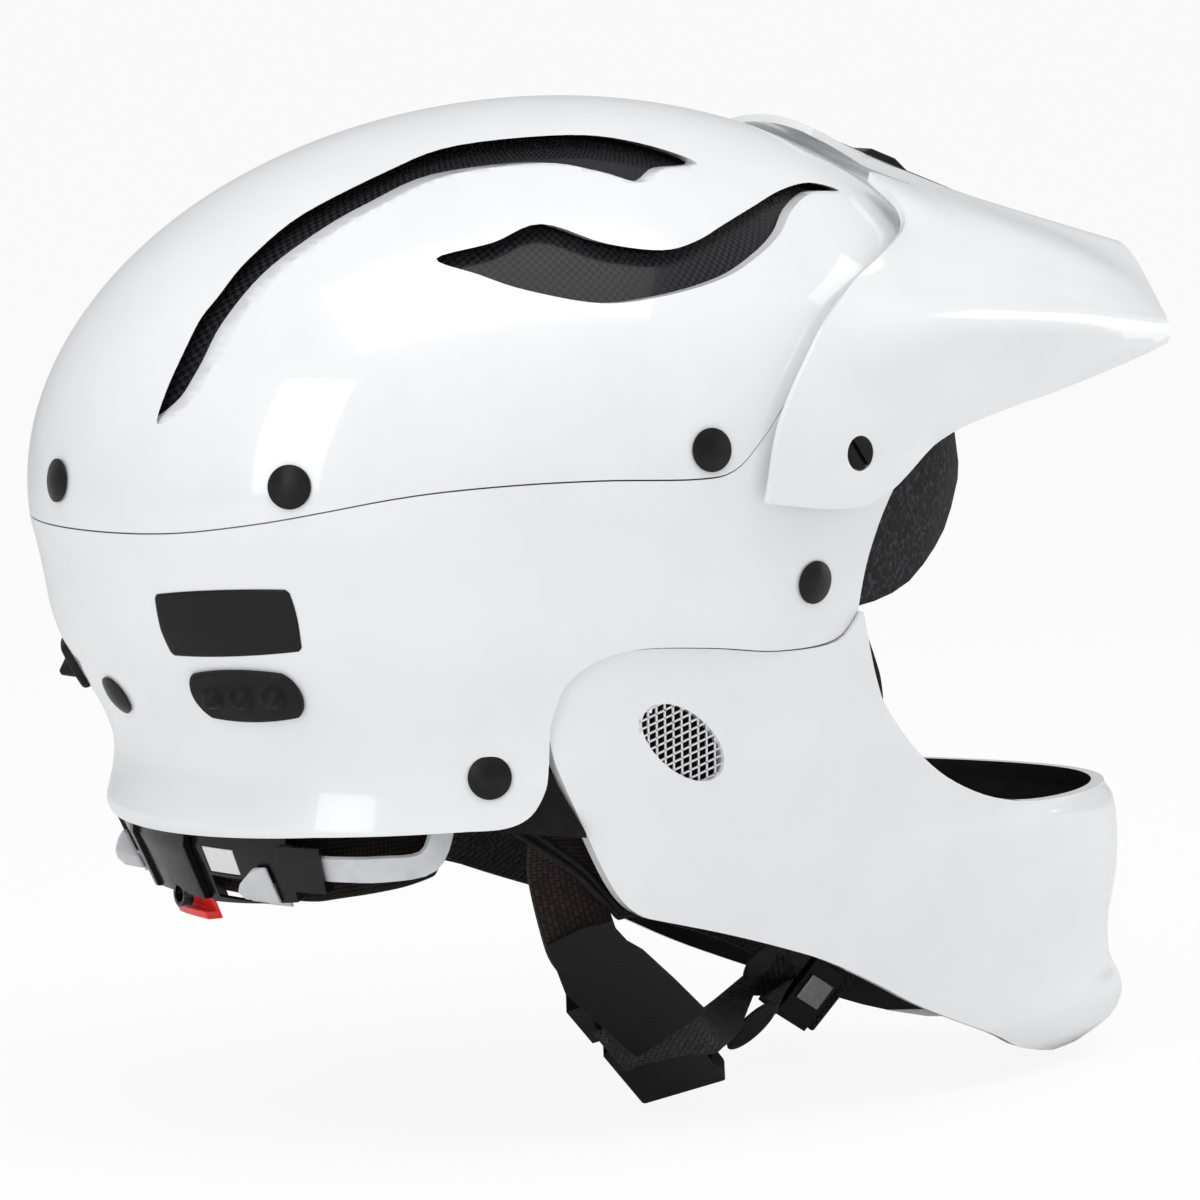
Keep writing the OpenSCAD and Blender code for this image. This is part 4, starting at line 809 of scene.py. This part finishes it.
# Foam liners
# Charcoal bead foam, moulded in three parts: the crown block, the brow that shows past the eye
# port's edge, and the nape block. The beads show as a fine speckle.
bead_foam = new_material("bead_foam", (0.02, 0.02, 0.021), 0.85, Specular_IOR_Level=0.2)
beads = pattern(bead_foam, "TexVoronoi", Scale=900)
edges = pattern(bead_foam, "TexVoronoi", Scale=900, _feature="DISTANCE_TO_EDGE")
tone = add(bead_foam, "SeparateColor")
join(bead_foam, (beads, "Color", tone, 0))
shade(bead_foam, tone, "Red", [(0.0, (0.009, 0.009, 0.01)), (0.7, (0.019, 0.019, 0.02)),
                                (1.0, (0.05, 0.05, 0.054))])
relief(bead_foam, edges, "Distance", 0.0003, 0.5)
for name in ("crown_liner", "nape_liner"):
    dress(name, bead_foam, 1.0, 45, 2)

# Brow foam
# The brow block of the same foam. Its lower front leans back from the eye port's edge, which the
# drawn block leaves square.
brow_lean = [(0, 0.8), (8, 1.9), (18, 3.3), (35, 4.5), (46, 8.3), (60, 11)]
lean_from, lean_over = 0.05, 0.03
brow_mesh = node["brow_liner"].data.copy()
brow = bpy.data.objects.new("brow_foam", brow_mesh)
bpy.context.scene.collection.objects.link(brow)
brow_mesh.materials.clear()
brow_mesh.materials.append(bead_foam)
bm = bmesh.new()
bm.from_mesh(brow_mesh)
bmesh.ops.remove_doubles(bm, verts=bm.verts, dist=0.000002)
for v in bm.verts:
    ahead = min(1, max(0, (v.co.x - lean_from)/lean_over))
    v.co.x -= mm*ahead*ahead*(3 - 2*ahead)*along(brow_lean, v.co.z/mm)
bm.to_mesh(brow_mesh)
bm.free()
brow_mesh.shade_smooth()
round_edges(brow, 1.0, 45, 2)
settle(brow)
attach(brow, "shell")
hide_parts("brow_liner")

# Crown pad
# A comfort pad stuck inside the crown: soft foam in dark brown mesh cloth, sewn round its rim and
# along two channels. A short cloth run loosens the drawn form between the seams. It draws this pad
# in by about a tenth of its volume, and two runs of it have differed by up to 1.6 mm.
cavity_rise, cavity_len, cavity_wid = 62.5, 105.5, 83.5
crown_pad_len, crown_pad_wid = 116, 84
pad_rim = 1.6
mesh_cloth = new_material("mesh_cloth", (0.01, 0.007, 0.0065), 0.88, Sheen_Weight=0.08,
                          Sheen_Roughness=0.4, Specular_IOR_Level=0.15)
strip = add(mesh_cloth, "UVMap", _uv_map="cloth")
holes = add(mesh_cloth, "TexVoronoi", Scale=0.78, Randomness=0.1, _voronoi_dimensions="2D")
tint = add(mesh_cloth, "TexNoise", Scale=0.16, Detail=3)
join(mesh_cloth, (strip, "UV", holes, "Vector"), (strip, "UV", tint, "Vector"))
# The ramp paints the mesh's holes near black as painted shade inside the openings, and the threads round
# them lighter.
shade(mesh_cloth, holes, "Distance", [(0.22, (0.002, 0.0015, 0.0015)), (0.5, (0.013, 0.009, 0.008)),
                                      (0.72, (0.026, 0.017, 0.015))])
shade(mesh_cloth, tint, "Fac", [(0.35, (0.8,)), (0.7, (0.95,))], "Roughness")
relief(mesh_cloth, holes, "Distance", 0.0004, 0.8)


def swell(u):
    return math.sqrt(max(0, 1 - abs(2*u - 1)**2.6))


def channel(u, places, half):
    """How far a point is drawn in by the nearest of some seams, from 0 to 1."""
    return max([0] + [1 - (abs(u - place)/half)**1.5 for place in places if abs(u - place) < half])


def sewn_pad(name, seat, gap, thick, long, high, drawn, corner=0.08, cell=2.4):
    """A closed pad: a flat back on its seat and a crowned face on the same grid, drawn in at its
    seams. seat gives a point from u, w and a depth; drawn gives the seams' pull from u and w."""
    bm = bmesh.new()
    bmesh.ops.create_grid(bm, x_segments=round(long/cell), y_segments=round(high/cell), size=1)
    cloth = bm.loops.layers.uv.new("cloth")
    back = set(bm.verts)
    bmesh.ops.extrude_face_region(bm, geom=bm.faces[:])
    for face in bm.faces:
        for loop in face.loops:
            loop[cloth].uv = (loop.vert.co.x*long/2, loop.vert.co.y*high/2)
    bm.verts.index_update()
    held = []
    for v in bm.verts:
        x, y = v.co.x, v.co.y
        u, w = (x*(1 - corner*y**6) + 1)/2, (y*(1 - corner*x**6) + 1)/2
        pull = drawn(u, w)
        depth = gap + 0.1
        if v not in back:
            depth = gap + pad_rim + (thick - pad_rim)*0.8*swell(u)*swell(w)*(1 - 0.85*pull)
        if v in back or abs(x) > 0.999 or abs(y) > 0.999 or pull > 0.8:
            held.append(v.index)
        v.co = seat(u, w, depth)
    # Blender's own guess of the outside is wrong on the bent pads: only the crown pad faces out.
    bmesh.ops.recalc_face_normals(bm, faces=bm.faces)
    pad = new_piece(name, bm, mesh_cloth)
    pad["held"] = held
    return pad


def loosen(pad, fullness, most):
    """Loosens the pad's cloth between the seams that hold it, by no more than most millimetres.
    The ear pads gain volume by it; the others lose some."""
    held = list(pad["held"])
    del pad["held"]
    hold = pad.vertex_groups.new(name="seams")
    hold.add(held, 1, "REPLACE")
    before = [v.co.copy() for v in pad.data.vertices]
    blow = pad.modifiers.new("blow", "CLOTH")
    blow.settings.vertex_group_mass = "seams"
    blow.settings.mass = 0.01
    blow.settings.use_pressure = True
    blow.settings.uniform_pressure_force = 8
    blow.settings.effector_weights.gravity = 0
    blow.settings.shrink_min = -fullness
    blow.settings.tension_stiffness = 8
    blow.settings.compression_stiffness = 8
    blow.settings.bending_stiffness = 0.8
    blow.point_cache.frame_start = 1
    blow.point_cache.frame_end = 20
    for frame_number in range(1, 21):
        bpy.context.scene.frame_set(frame_number)
    settle(pad)
    bpy.context.scene.frame_set(1)
    for v, start in zip(pad.data.vertices, before):
        step = v.co - start
        if step.length > most*mm:
            v.co = start + step*(most*mm/step.length)
    pad.vertex_groups.clear()
    soft = pad.modifiers.new("soft", "SUBSURF")
    soft.levels = soft.render_levels = 1
    settle(pad)


def crown_at(u, w, depth):
    x = crown_pad_len*(u - 0.5)
    y = crown_pad_wid*(w - 0.5)*math.sqrt(max(0.2, 1 - 0.8*(2*u - 1)**4))
    rise = 1 - ((x + 2)/(cavity_len - depth))**2 - (y/(cavity_wid - depth))**2
    return Vector((x + shell_mid, y, belt_z + (cavity_rise - depth)*math.sqrt(rise)))


crown_cushion = sewn_pad("crown_pad_cushion", crown_at, 0.3, 5, crown_pad_len, crown_pad_wid,
                         lambda u, w: channel(w, (0.34, 0.66), 0.045))
loosen(crown_cushion, 0.03, 1.2)
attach(crown_cushion, "shell")
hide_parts("crown_pad")

# Ear pads
# A narrow upright pad over each ear, sewn like the crown pad, with one cross seam.
ear_low, ear_tall = -21, 40


def ear_at(u, w, depth):
    level = ear_low + ear_tall*w
    middle, long, wide = ring_at(level, depth)
    turn = math.radians(-108 + 10.5*u)
    return Vector((middle + long*math.cos(turn), wide*math.sin(turn), level))


ear_cushion = sewn_pad("ear_pad_right_cushion", ear_at, 7.4, 9, 20, ear_tall,
                       lambda u, w: channel(w, (0.5,), 0.07), cell=1.7)
loosen(ear_cushion, 0.03, 1.2)
for piece, hand in both_sides(ear_cushion):
    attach(piece, "shell")
    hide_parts("ear_pad_" + hand)

# Cheek pads
# The thick pad of each cheek, in the same mesh cloth. Its rear and lower edge hangs below the ear
# notch and is bound with a double welt of plain black tape.
cheek_low, cheek_tall = -76, 82.6
cheek_front = [(-76, 36), (-64, 50), (-50, 61), (-36, 67), (-23, 72), (-15, 69.5), (-6, 64.8),
               (2, 61), (7, 60)]
cheek_rear = [(-76, -9), (-62, -24), (-50, -42), (-44, -42), (-36, -34), (-28, -26), (-24, -6), (7, -5)]


def cheek_at(u, w, depth):
    level = cheek_low + cheek_tall*w
    x = along(cheek_rear, level)*(1 - u) + along(cheek_front, level)*u
    front, back, wide = chin_ring(level, depth)
    if x >= chin_mid:
        turn = math.acos(min(1, (x - chin_mid)/front)**(chin_power/2))
    else:
        turn = math.acos(max(-1, (x - chin_mid)/back))
    return Vector((*chin_at(-turn, front, back, wide), level))


welt_tape = new_material("welt_tape", (0.008, 0.0075, 0.0075), 0.7, Sheen_Weight=0.05,
                         Sheen_Roughness=0.4, Specular_IOR_Level=0.2)
rib = pattern(welt_tape, "TexWave", Scale=320, Distortion=0.6, _bands_direction="DIAGONAL")
dust = pattern(welt_tape, "TexNoise", Scale=300, Detail=3)
relief(welt_tape, rib, "Fac", 0.0001, 0.5)
shade(welt_tape, dust, "Fac", [(0.35, (0.005, 0.0045, 0.0045)), (0.7, (0.012, 0.011, 0.011))])


def round_rings(points, radius, sides, up=Vector((0, 0, 1))):
    """Rings of a round cord along points."""
    made = []
    for i, point in enumerate(points):
        ahead = (points[min(i + 1, len(points) - 1)] - points[max(i - 1, 0)]).normalized()
        across = ahead.cross(up).normalized()
        over = across.cross(ahead)
        made.append([point + radius*(math.cos(math.tau*k/sides)*across + math.sin(math.tau*k/sides)*over)
                     for k in range(sides)])
    return made


cheek = sewn_pad("cheek_pad_right_cushion", cheek_at, 7.3, 8.5, 88, 82,
                 lambda u, w: max(channel(w, (0.53,), 0.035),
                                  channel(u, (0.5,), 0.03) if w > 0.53 else 0))
loosen(cheek, 0.03, 1.2)
welts = []
for into, hang in ((0.006, 0.5), (0.05, 0.2)):
    bm = bmesh.new()
    line = [cheek_at(into, 0.435 - 0.43*k/24, 7.3 - hang) for k in range(25)]
    line += [cheek_at(into + (0.5 - into)*k/10, 0.008 + into*0.5, 7.3 - hang) for k in range(1, 11)]
    run_through(bm, round_rings(curve_through(line, 2), 0.85, 10, Vector((0, -1, 0))))
    welts.append(new_piece("cheek_welt_right_%d" % (len(welts) + 1), bm, welt_tape))
for piece, hand in both_sides(cheek):
    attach(piece, "shell")
    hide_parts("cheek_pad_" + hand)
for welt in welts:
    for piece, _ in both_sides(welt):
        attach(piece, "shell")

# Ear flaps
# A thin leather flap closes the notch between the side shell and the chin guard. It is glued
# behind both, so only its triangle shows. The grain is fine, and its edges are left raw.
flap_leather = new_material("flap_leather", (0.006, 0.005, 0.005), 0.5, Specular_IOR_Level=0.18)
pores = pattern(flap_leather, "TexVoronoi", Scale=1500)
crease = pattern(flap_leather, "TexNoise", Scale=420, Detail=6, Roughness=0.65)
relief(flap_leather, pores, "Distance", 0.00012, 0.5)
shade(flap_leather, crease, "Fac", [(0.35, (0.0025, 0.002, 0.002)), (0.7, (0.009, 0.0075, 0.007))])
shade(flap_leather, crease, "Fac", [(0.35, (0.42,)), (0.7, (0.6,))], "Roughness")
flap_line = [(-46, -24), (-38.9, -24), (-35.7, -33), (-26.5, -50), (-26, -51.6), (-47.5, -49.6),
             (-55, -46), (-50, -44)]
bm = bmesh.new()
bmesh.ops.create_grid(bm, x_segments=24, y_segments=20, size=1)
for v in bm.verts:
    v.co = skin_point(-113 + 15*v.co.x, -39 + 18*v.co.y, 3.4)
face_by(bm, lambda f: -f.normal.y)
flap = new_piece("ear_flap_right_leather", bm, flap_leather)
wall_in(flap, 0.6)
settle(flap)
cut(flap, [side_block(flap_line, -130, -40)], "INTERSECT")
round_edges(flap, 0.15, 50, 1)
settle(flap)
for piece, hand in both_sides(flap):
    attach(piece, "shell")
    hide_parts("ear_flap_" + hand)

# Rear cradle
# A black gloss plate bent round the nape, in two halves over a ribbed spine, with a blank white
# plate in the right half. Grey bands carry it from pivots inside the shell.
gloss_black = surface("gloss_black", (0.004, 0.004, 0.0045), 0.22, grain=(1500, 2, 0.00001, 0.3),
                      cloud=(190, 4), rough=[(0.3, 0.17), (0.7, 0.3)], Coat_Weight=0.08,
                      Coat_Roughness=0.1, Specular_IOR_Level=0.3)
pale_plastic = surface("pale_plastic", (0.62, 0.64, 0.66), 0.34, cloud=(140, 4),
                       tones=[(0.3, (0.56, 0.58, 0.60)), (0.7, (0.68, 0.70, 0.72))],
                       rough=[(0.3, 0.28), (0.7, 0.42)], Subsurface_Weight=0.25,
                       Subsurface_Scale=0.003)
red_plastic = surface("red_plastic", (0.85, 0.025, 0.02), 0.3, cloud=(180, 4),
                      tones=[(0.3, (0.82, 0.02, 0.016)), (0.7, (0.92, 0.034, 0.028))],
                      Subsurface_Weight=0.1, Subsurface_Scale=0.002)
blank_plate = surface("blank_plate", (0.8, 0.8, 0.79), 0.45, grain=(500, 3, 0.00002, 0.3),
                      cloud=(500, 3), tones=[(0.3, (0.76, 0.76, 0.75)), (0.7, (0.84, 0.84, 0.83))])
for name, material, width in (
        ("cradle_housing", gloss_black, 0.6), ("cradle_spine", gloss_black, 0.7),
        ("cradle_anchors", satin_black, 0.3), ("cradle_bands", pale_plastic, 0.35),
        ("release_tab", red_plastic, 0.4), ("size_plate", blank_plate, 0.15)):
    dress(name, material, width, 28, 3)

# Cradle pad
# A long thin pad on the inside of the cradle, in the same mesh cloth, that tapers up each band.
cradle_x, cradle_r, fold_z, draw_slope = -9.475, 97, -57, 9/19


def cradle_at(a, z, depth):
    out = (cradle_r if z > fold_z else cradle_r + (z - fold_z)*draw_slope) - depth
    return Vector((cradle_x - out*math.cos(math.radians(a)), out*math.sin(math.radians(a)), z))


def bent_block(bm, spans, low, high, outer, inner):
    """A closed block of the cradle's own bend, over plan angles, levels and depths."""
    corners = ((low, outer), (high, outer), (high, inner), (low, inner))
    run_through(bm, [[cradle_at(a, z, d) for z, d in corners] for a in spans])


# Slide knobs
# Two pale fins on the housing draw the bands in. Each is a bent shark's fin on a neck that runs
# in the housing's slot, with a keeper plate behind.
bm = bmesh.new()
fin_foot = [(-26.9, -70.6), (-19.8, -69.8), (-20, -66.5), (-23.6, -60.8), (-26, -60.4)]
for p in (*[(a, z, depth) for depth in (-0.5, -1.6) for a, z in fin_foot],
          (-22.2, -69.4, -5.6), (-21.7, -67.4, -7), (-22.3, -65, -6.4), (-23.8, -62.2, -4)):
    bm.verts.new(cradle_at(*p))
bmesh.ops.convex_hull(bm, input=bm.verts)
bmesh.ops.dissolve_limit(bm, angle_limit=0.05, verts=bm.verts, edges=bm.edges)
bmesh.ops.bevel(bm, geom=bm.edges, offset=0.9, segments=4, profile=0.5, affect="EDGES",
                clamp_overlap=True)
fin = new_piece("knob_right_fin", bm, pale_plastic)
bm = bmesh.new()
bent_block(bm, [-25.4, -23, -20.6], -70.7, -65.3, -0.8, 4.2)
bent_block(bm, [-26.2, -23, -19.8], -72.2, -63.8, 4.25, 5.4)
bmesh.ops.recalc_face_normals(bm, faces=bm.faces)
neck = new_piece("knob_right_keeper", bm, pale_plastic, smooth=False)
for piece in (fin, neck):
    for each, hand in both_sides(piece):
        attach(each, "knob_" + hand)
        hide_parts("knob_" + hand)


nape_tall = 19
nape_ends = [Vector((-58, 68, -55)), Vector((-66, 62.5, -57.5)), Vector((-77, 53, -60))]
nape_route = curve_through(nape_ends + [cradle_at(a, -61.5, 6.4) for a in (30, 15, 0, -15, -30)]
                           + [Vector((p.x, -p.y, p.z)) for p in reversed(nape_ends)], 4)


def nape_at(u, w, depth):
    last = len(nape_route) - 1
    step = min(u*last, last - 0.0001)
    low = math.floor(step)
    p = nape_route[low].lerp(nape_route[low + 1], step - low)
    ahead = nape_route[low + 1] - nape_route[max(math.ceil(step) - 1, 0)]
    outward = ahead.cross(Vector((0, 0, 1))).normalized()
    rise = nape_tall*(w - 0.5)*(0.7 + 0.3*swell(u))
    sink = draw_slope*(max(0, fold_z - p.z - rise) - max(0, fold_z - p.z))
    return p + Vector((0, 0, rise)) - (depth + sink)*outward


nape_cushion = sewn_pad("cradle_pad_cushion", nape_at, 0, 5, 176, nape_tall,
                        lambda u, w: channel(u, (0.26, 0.5, 0.74), 0.02), corner=0.04, cell=2.2)
loosen(nape_cushion, 0.03, 1.0)
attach(nape_cushion, "cradle")
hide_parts("cradle_pad")

# Chin strap
# Black webbing, 20 mm wide, is held by a stud inside each side shell. The right run drops to the
# buckle; the left run comes out over the socket, through the keeper and round inside the chin guard.
def axis_frame(middle, along_s, near_h):
    """A frame with s along the strap, q across it and h outward."""
    s = Vector(along_s).normalized()
    h = s.cross(Vector(near_h)).normalized()
    return Vector(middle), s, h.cross(s), h


buckle = axis_frame((15.6, -49.3, -113.4), (0.695, 0.344, -0.631), (0.638, -0.699, 0.323))
keeper = axis_frame((98.5, 1, -114), (0.82, 0.35, -0.45), (0.55, -0.26, 0.8))


def in_frame(frame, s, q, h):
    return frame[0] + s*frame[1] + q*frame[2] + h*frame[3]


def strap_rings(route, dirs, wide, thick, steps=4):
    """Rings of a flat woven strap with round edges, and how far along each of them lies."""
    path = curve_through(route, steps)
    across = [d.normalized() for d in curve_through(dirs, steps)]
    half, lift = wide/2, thick/2
    section = [(-half, 0), (-half + 0.2, lift*0.7), (-half + 0.6, lift), (-half/3, lift), (half/3, lift),
               (half - 0.6, lift), (half - 0.2, lift*0.7), (half, 0), (half - 0.2, -lift*0.7),
               (half - 0.6, -lift), (half/3, -lift), (-half/3, -lift), (-half + 0.6, -lift),
               (-half + 0.2, -lift*0.7)]
    rings, gone = [], [0.0]
    for i, p in enumerate(path):
        ahead = path[min(i + 1, len(path) - 1)] - path[max(i - 1, 0)]
        up = ahead.cross(across[i]).normalized()
        rings.append([p + across[i]*x + up*y for x, y in section])
        if i:
            gone.append(gone[-1] + (p - path[i - 1]).length)
    return rings, gone, [x for x, y in section]


def woven(name, route, dirs, wide, thick, material, steps=4):
    """A strap with its weave laid out along it in millimetres."""
    rings, gone, offsets = strap_rings([Vector(p) for p in route], [Vector(d) for d in dirs], wide, thick,
                                       steps)
    bm = bmesh.new()
    where = run_through(bm, rings)
    cloth = bm.loops.layers.uv.new("cloth")
    for face in bm.faces:
        for loop in face.loops:
            step, k = where[loop.vert]
            loop[cloth].uv = (gone[step], offsets[k])
    return new_piece(name, bm, material)


def webbing_material(name, brick, row, slant, dark, tint):
    """Webbing with rounded floats in a half-step bond, slanted by a shear of its own map."""
    made = new_material(name, dark, 0.72, Sheen_Weight=0.1, Sheen_Roughness=0.35,
                        Specular_IOR_Level=0.25)
    strip = add(made, "UVMap", _uv_map="cloth")
    lean_over = add(made, "Mapping", Rotation=(0, 0, math.radians(slant)))
    floats = add(made, "TexBrick", Scale=1, Color1=(*dark, 1), Color2=(*tint, 1),
                 Mortar=(0.0005, 0.0005, 0.0005, 1), Brick_Width=brick, Row_Height=row,
                 Mortar_Size=0.3*row, Mortar_Smooth=1)
    threads = add(made, "TexWave", Scale=2.2, Distortion=0.5, _bands_direction="Y")
    lift = add(made, "Math", _operation="SUBTRACT")
    lift.inputs[0].default_value = 1
    fuzz = add(made, "Math", _operation="MULTIPLY_ADD")
    fuzz.inputs[1].default_value = 0.25
    join(made, (strip, "UV", lean_over, "Vector"), (lean_over, "Vector", floats, "Vector"),
         (lean_over, "Vector", threads, "Vector"), (floats, "Fac", lift, 1), (threads, "Fac", fuzz, 0),
         (lift, "Value", fuzz, 2), (floats, "Color", bsdf(made), "Base Color"))
    relief(made, fuzz, "Value", 0.0008, 1.0)
    return made


plain_weave = webbing_material("plain_webbing", 2.1, 1.5, 0, (0.02, 0.014, 0.014), (0.085, 0.028, 0.026))
twill_weave = webbing_material("twill_webbing", 3.0, 1.4, 52, (0.02, 0.018, 0.018), (0.06, 0.05, 0.048))
strap_thick = 1.6
side_bend = [(-42.5, -75.2, -27), (-40, -75.2, -30), (-31, -74.2, -38), (-23, -72, -50),
             (-20.5, -68.4, -65)]
side_dirs = [(0.75, 0, 0.66), (0.75, 0, 0.66), (0.8, -0.1, 0.5), (0.92, -0.2, 0.2), (0.95, -0.3, 0)]
into_plug = [(-50, 4.5, 2), (-38, 2, 1), (-27.5, 0, 0), (-20.5, 0, 0)]
right_route = side_bend + [in_frame(buckle, *p) for p in into_plug]
right_dirs = side_dirs + [(0.86, -0.42, 0.15), buckle[2], buckle[2], buckle[2]]
low_left = [(112, 22, -113), (103, 40, -101), (66, 57.5, -87), (26, 66.5, -73), (-4, 68.5, -60.5)]
low_dirs = [(0.5, 0.2, 0.8), (0.6, 0.4, 0.6), (0.5, 0.3, 0.8), (0.4, 0.2, 0.9), (0.6, 0.25, 0.75)]
over_socket = [(-4, -9, 5.2), (-4, 0, 5.2), (-3, 9, 5.3), (0, 15, 5), (2, 17.5, 3)]
left_route = [in_frame(buckle, *p) for p in over_socket]
left_route += [(44, -39, -114), (64, -10, -116), (76, -3, -109)]
left_route += [in_frame(keeper, s, 0, 0) for s in (-15, -10.5, -5, 5, 10.5, 14)] + low_left
left_route += [(-23, 71.6, -50), (-31, 74.3, -38), (-40, 75.2, -30), (-42.5, 75.2, -27)]
left_dirs = [buckle[1]]*5 + [(0.85, 0.2, -0.35), (0.88, 0.06, 0.12), (0.7, -0.15, 0.6)]
left_dirs += [keeper[2]]*6 + low_dirs
left_dirs += [(0.85, 0.1, 0.5), (0.8, 0.05, 0.55), (0.75, 0, 0.66), (0.75, 0, 0.66)]
for name, route, dirs, material in (("webbing_right", right_route, right_dirs, plain_weave),
                                    ("webbing_left", left_route, left_dirs, twill_weave)):
    strap = woven(name + "_strap", route, dirs, 20, strap_thick, material, 6)
    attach(strap, "chin_strap")
    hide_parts(name)

# Strap tails
# Two loose tails come out of the keeper, each ending in a leather leaf that is easy to grip.
leaf_leather = new_material("leaf_leather", (0.01, 0.0095, 0.0095), 0.45, Specular_IOR_Level=0.3)
pores = pattern(leaf_leather, "TexVoronoi", Scale=1400)
crease = pattern(leaf_leather, "TexNoise", Scale=380, Detail=5)
relief(leaf_leather, pores, "Distance", 0.0001, 0.5)
shade(leaf_leather, crease, "Fac", [(0.35, (0.007, 0.0065, 0.0065)), (0.7, (0.018, 0.017, 0.0165))])
tails = [[(-10, -4.5, 2.1), (-17, -7, 8), (-24.5, -9.5, 12.5)],
         [(-10, 5, 2.2), (-19, 6, 4), (-29.5, 4, 4)]]
leaves = [(-27, -16.4, 13, 9.5, math.radians(-107)), (-30, -1, 4, 7, math.radians(-92))]
for number, (tail, leaf) in enumerate(zip(tails, leaves), 1):
    reach, turn = leaf[3:]
    last = math.sin(turn)*keeper[1] - math.cos(turn)*keeper[2]
    strap = woven("strap_tail_%d" % number, [in_frame(keeper, *p) for p in tail],
                  [keeper[2], (keeper[2] + last).normalized(), last], 8.6, strap_thick,
                  twill_weave, 6)
    bm = bmesh.new()
    bmesh.ops.create_uvsphere(bm, u_segments=48, v_segments=24, radius=1)
    for v in bm.verts:
        flat = math.copysign(min(1, abs(v.co.z)*1.6), v.co.z)
        x, y, z = reach*v.co.x, 4.4*v.co.y, 1 + flat
        v.co = in_frame(keeper, leaf[0] + x*math.cos(turn) - y*math.sin(turn),
                        leaf[1] + x*math.sin(turn) + y*math.cos(turn), leaf[2] + z)
    # The first leaf comes out of this with its faces inwards.
    bmesh.ops.recalc_face_normals(bm, faces=bm.faces)
    tip = new_piece("strap_leaf_%d" % number, bm, leaf_leather)
    for piece, slot in ((strap, "webbing"), (tip, "leather")):
        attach(piece, "chin_strap")
        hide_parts("strap_ends")

# Buckle cover
# A soft leather flap lies over the buckle's plug. It is cut to a rough leaf with a rounded edge.
cover_line = [(-56.3, -2.7), (-47, -4.6), (-35, -7.3), (-18.3, -5), (-1.4, -2.5), (-0.8, -1.8),
              (-5.8, 10.7), (-10.8, 22.6), (-11.6, 23.2), (-27.2, 21.5), (-42.7, 19.3), (-48, 17.2),
              (-54, 16.8), (-57.9, 17.4), (-58.6, 8.4)]
cover_rim = [Vector((s, q, 0)) for s, q in cover_line]
bm = bmesh.new()
cover_slope = 0.033
run_through(bm, [[in_frame(buckle, p.x, p.y, rise + cover_slope*(p.x + 58)) for p in cover_rim]
                 for rise in (4.8, 6)])
cover = new_piece("buckle_cover", bm, flap_leather)
round_edges(cover, 0.4, 40, 3)
settle(cover)
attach(cover, "chin_strap")
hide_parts("buckle_flap")

# Buckle and keeper
# The side release buckle and the three-layer keeper are moulded in black; the keeper's plate is
# brushed grey and blank.
grey_plate = surface("grey_plate", (0.42, 0.43, 0.44), 0.35, cloud=(600, 3),
                     tones=[(0.3, (0.36, 0.37, 0.38)), (0.7, (0.5, 0.51, 0.52))], Metallic=0.6)
for name, width in (("buckle_plug", 1.4), ("buckle_socket", 2.0), ("prong_right", 0.4),
                    ("prong_left", 0.4), ("strap_keeper", 0.5)):
    dress(name, satin_black, width, 35, 3)
dress("keeper_plate", grey_plate, 0.3)
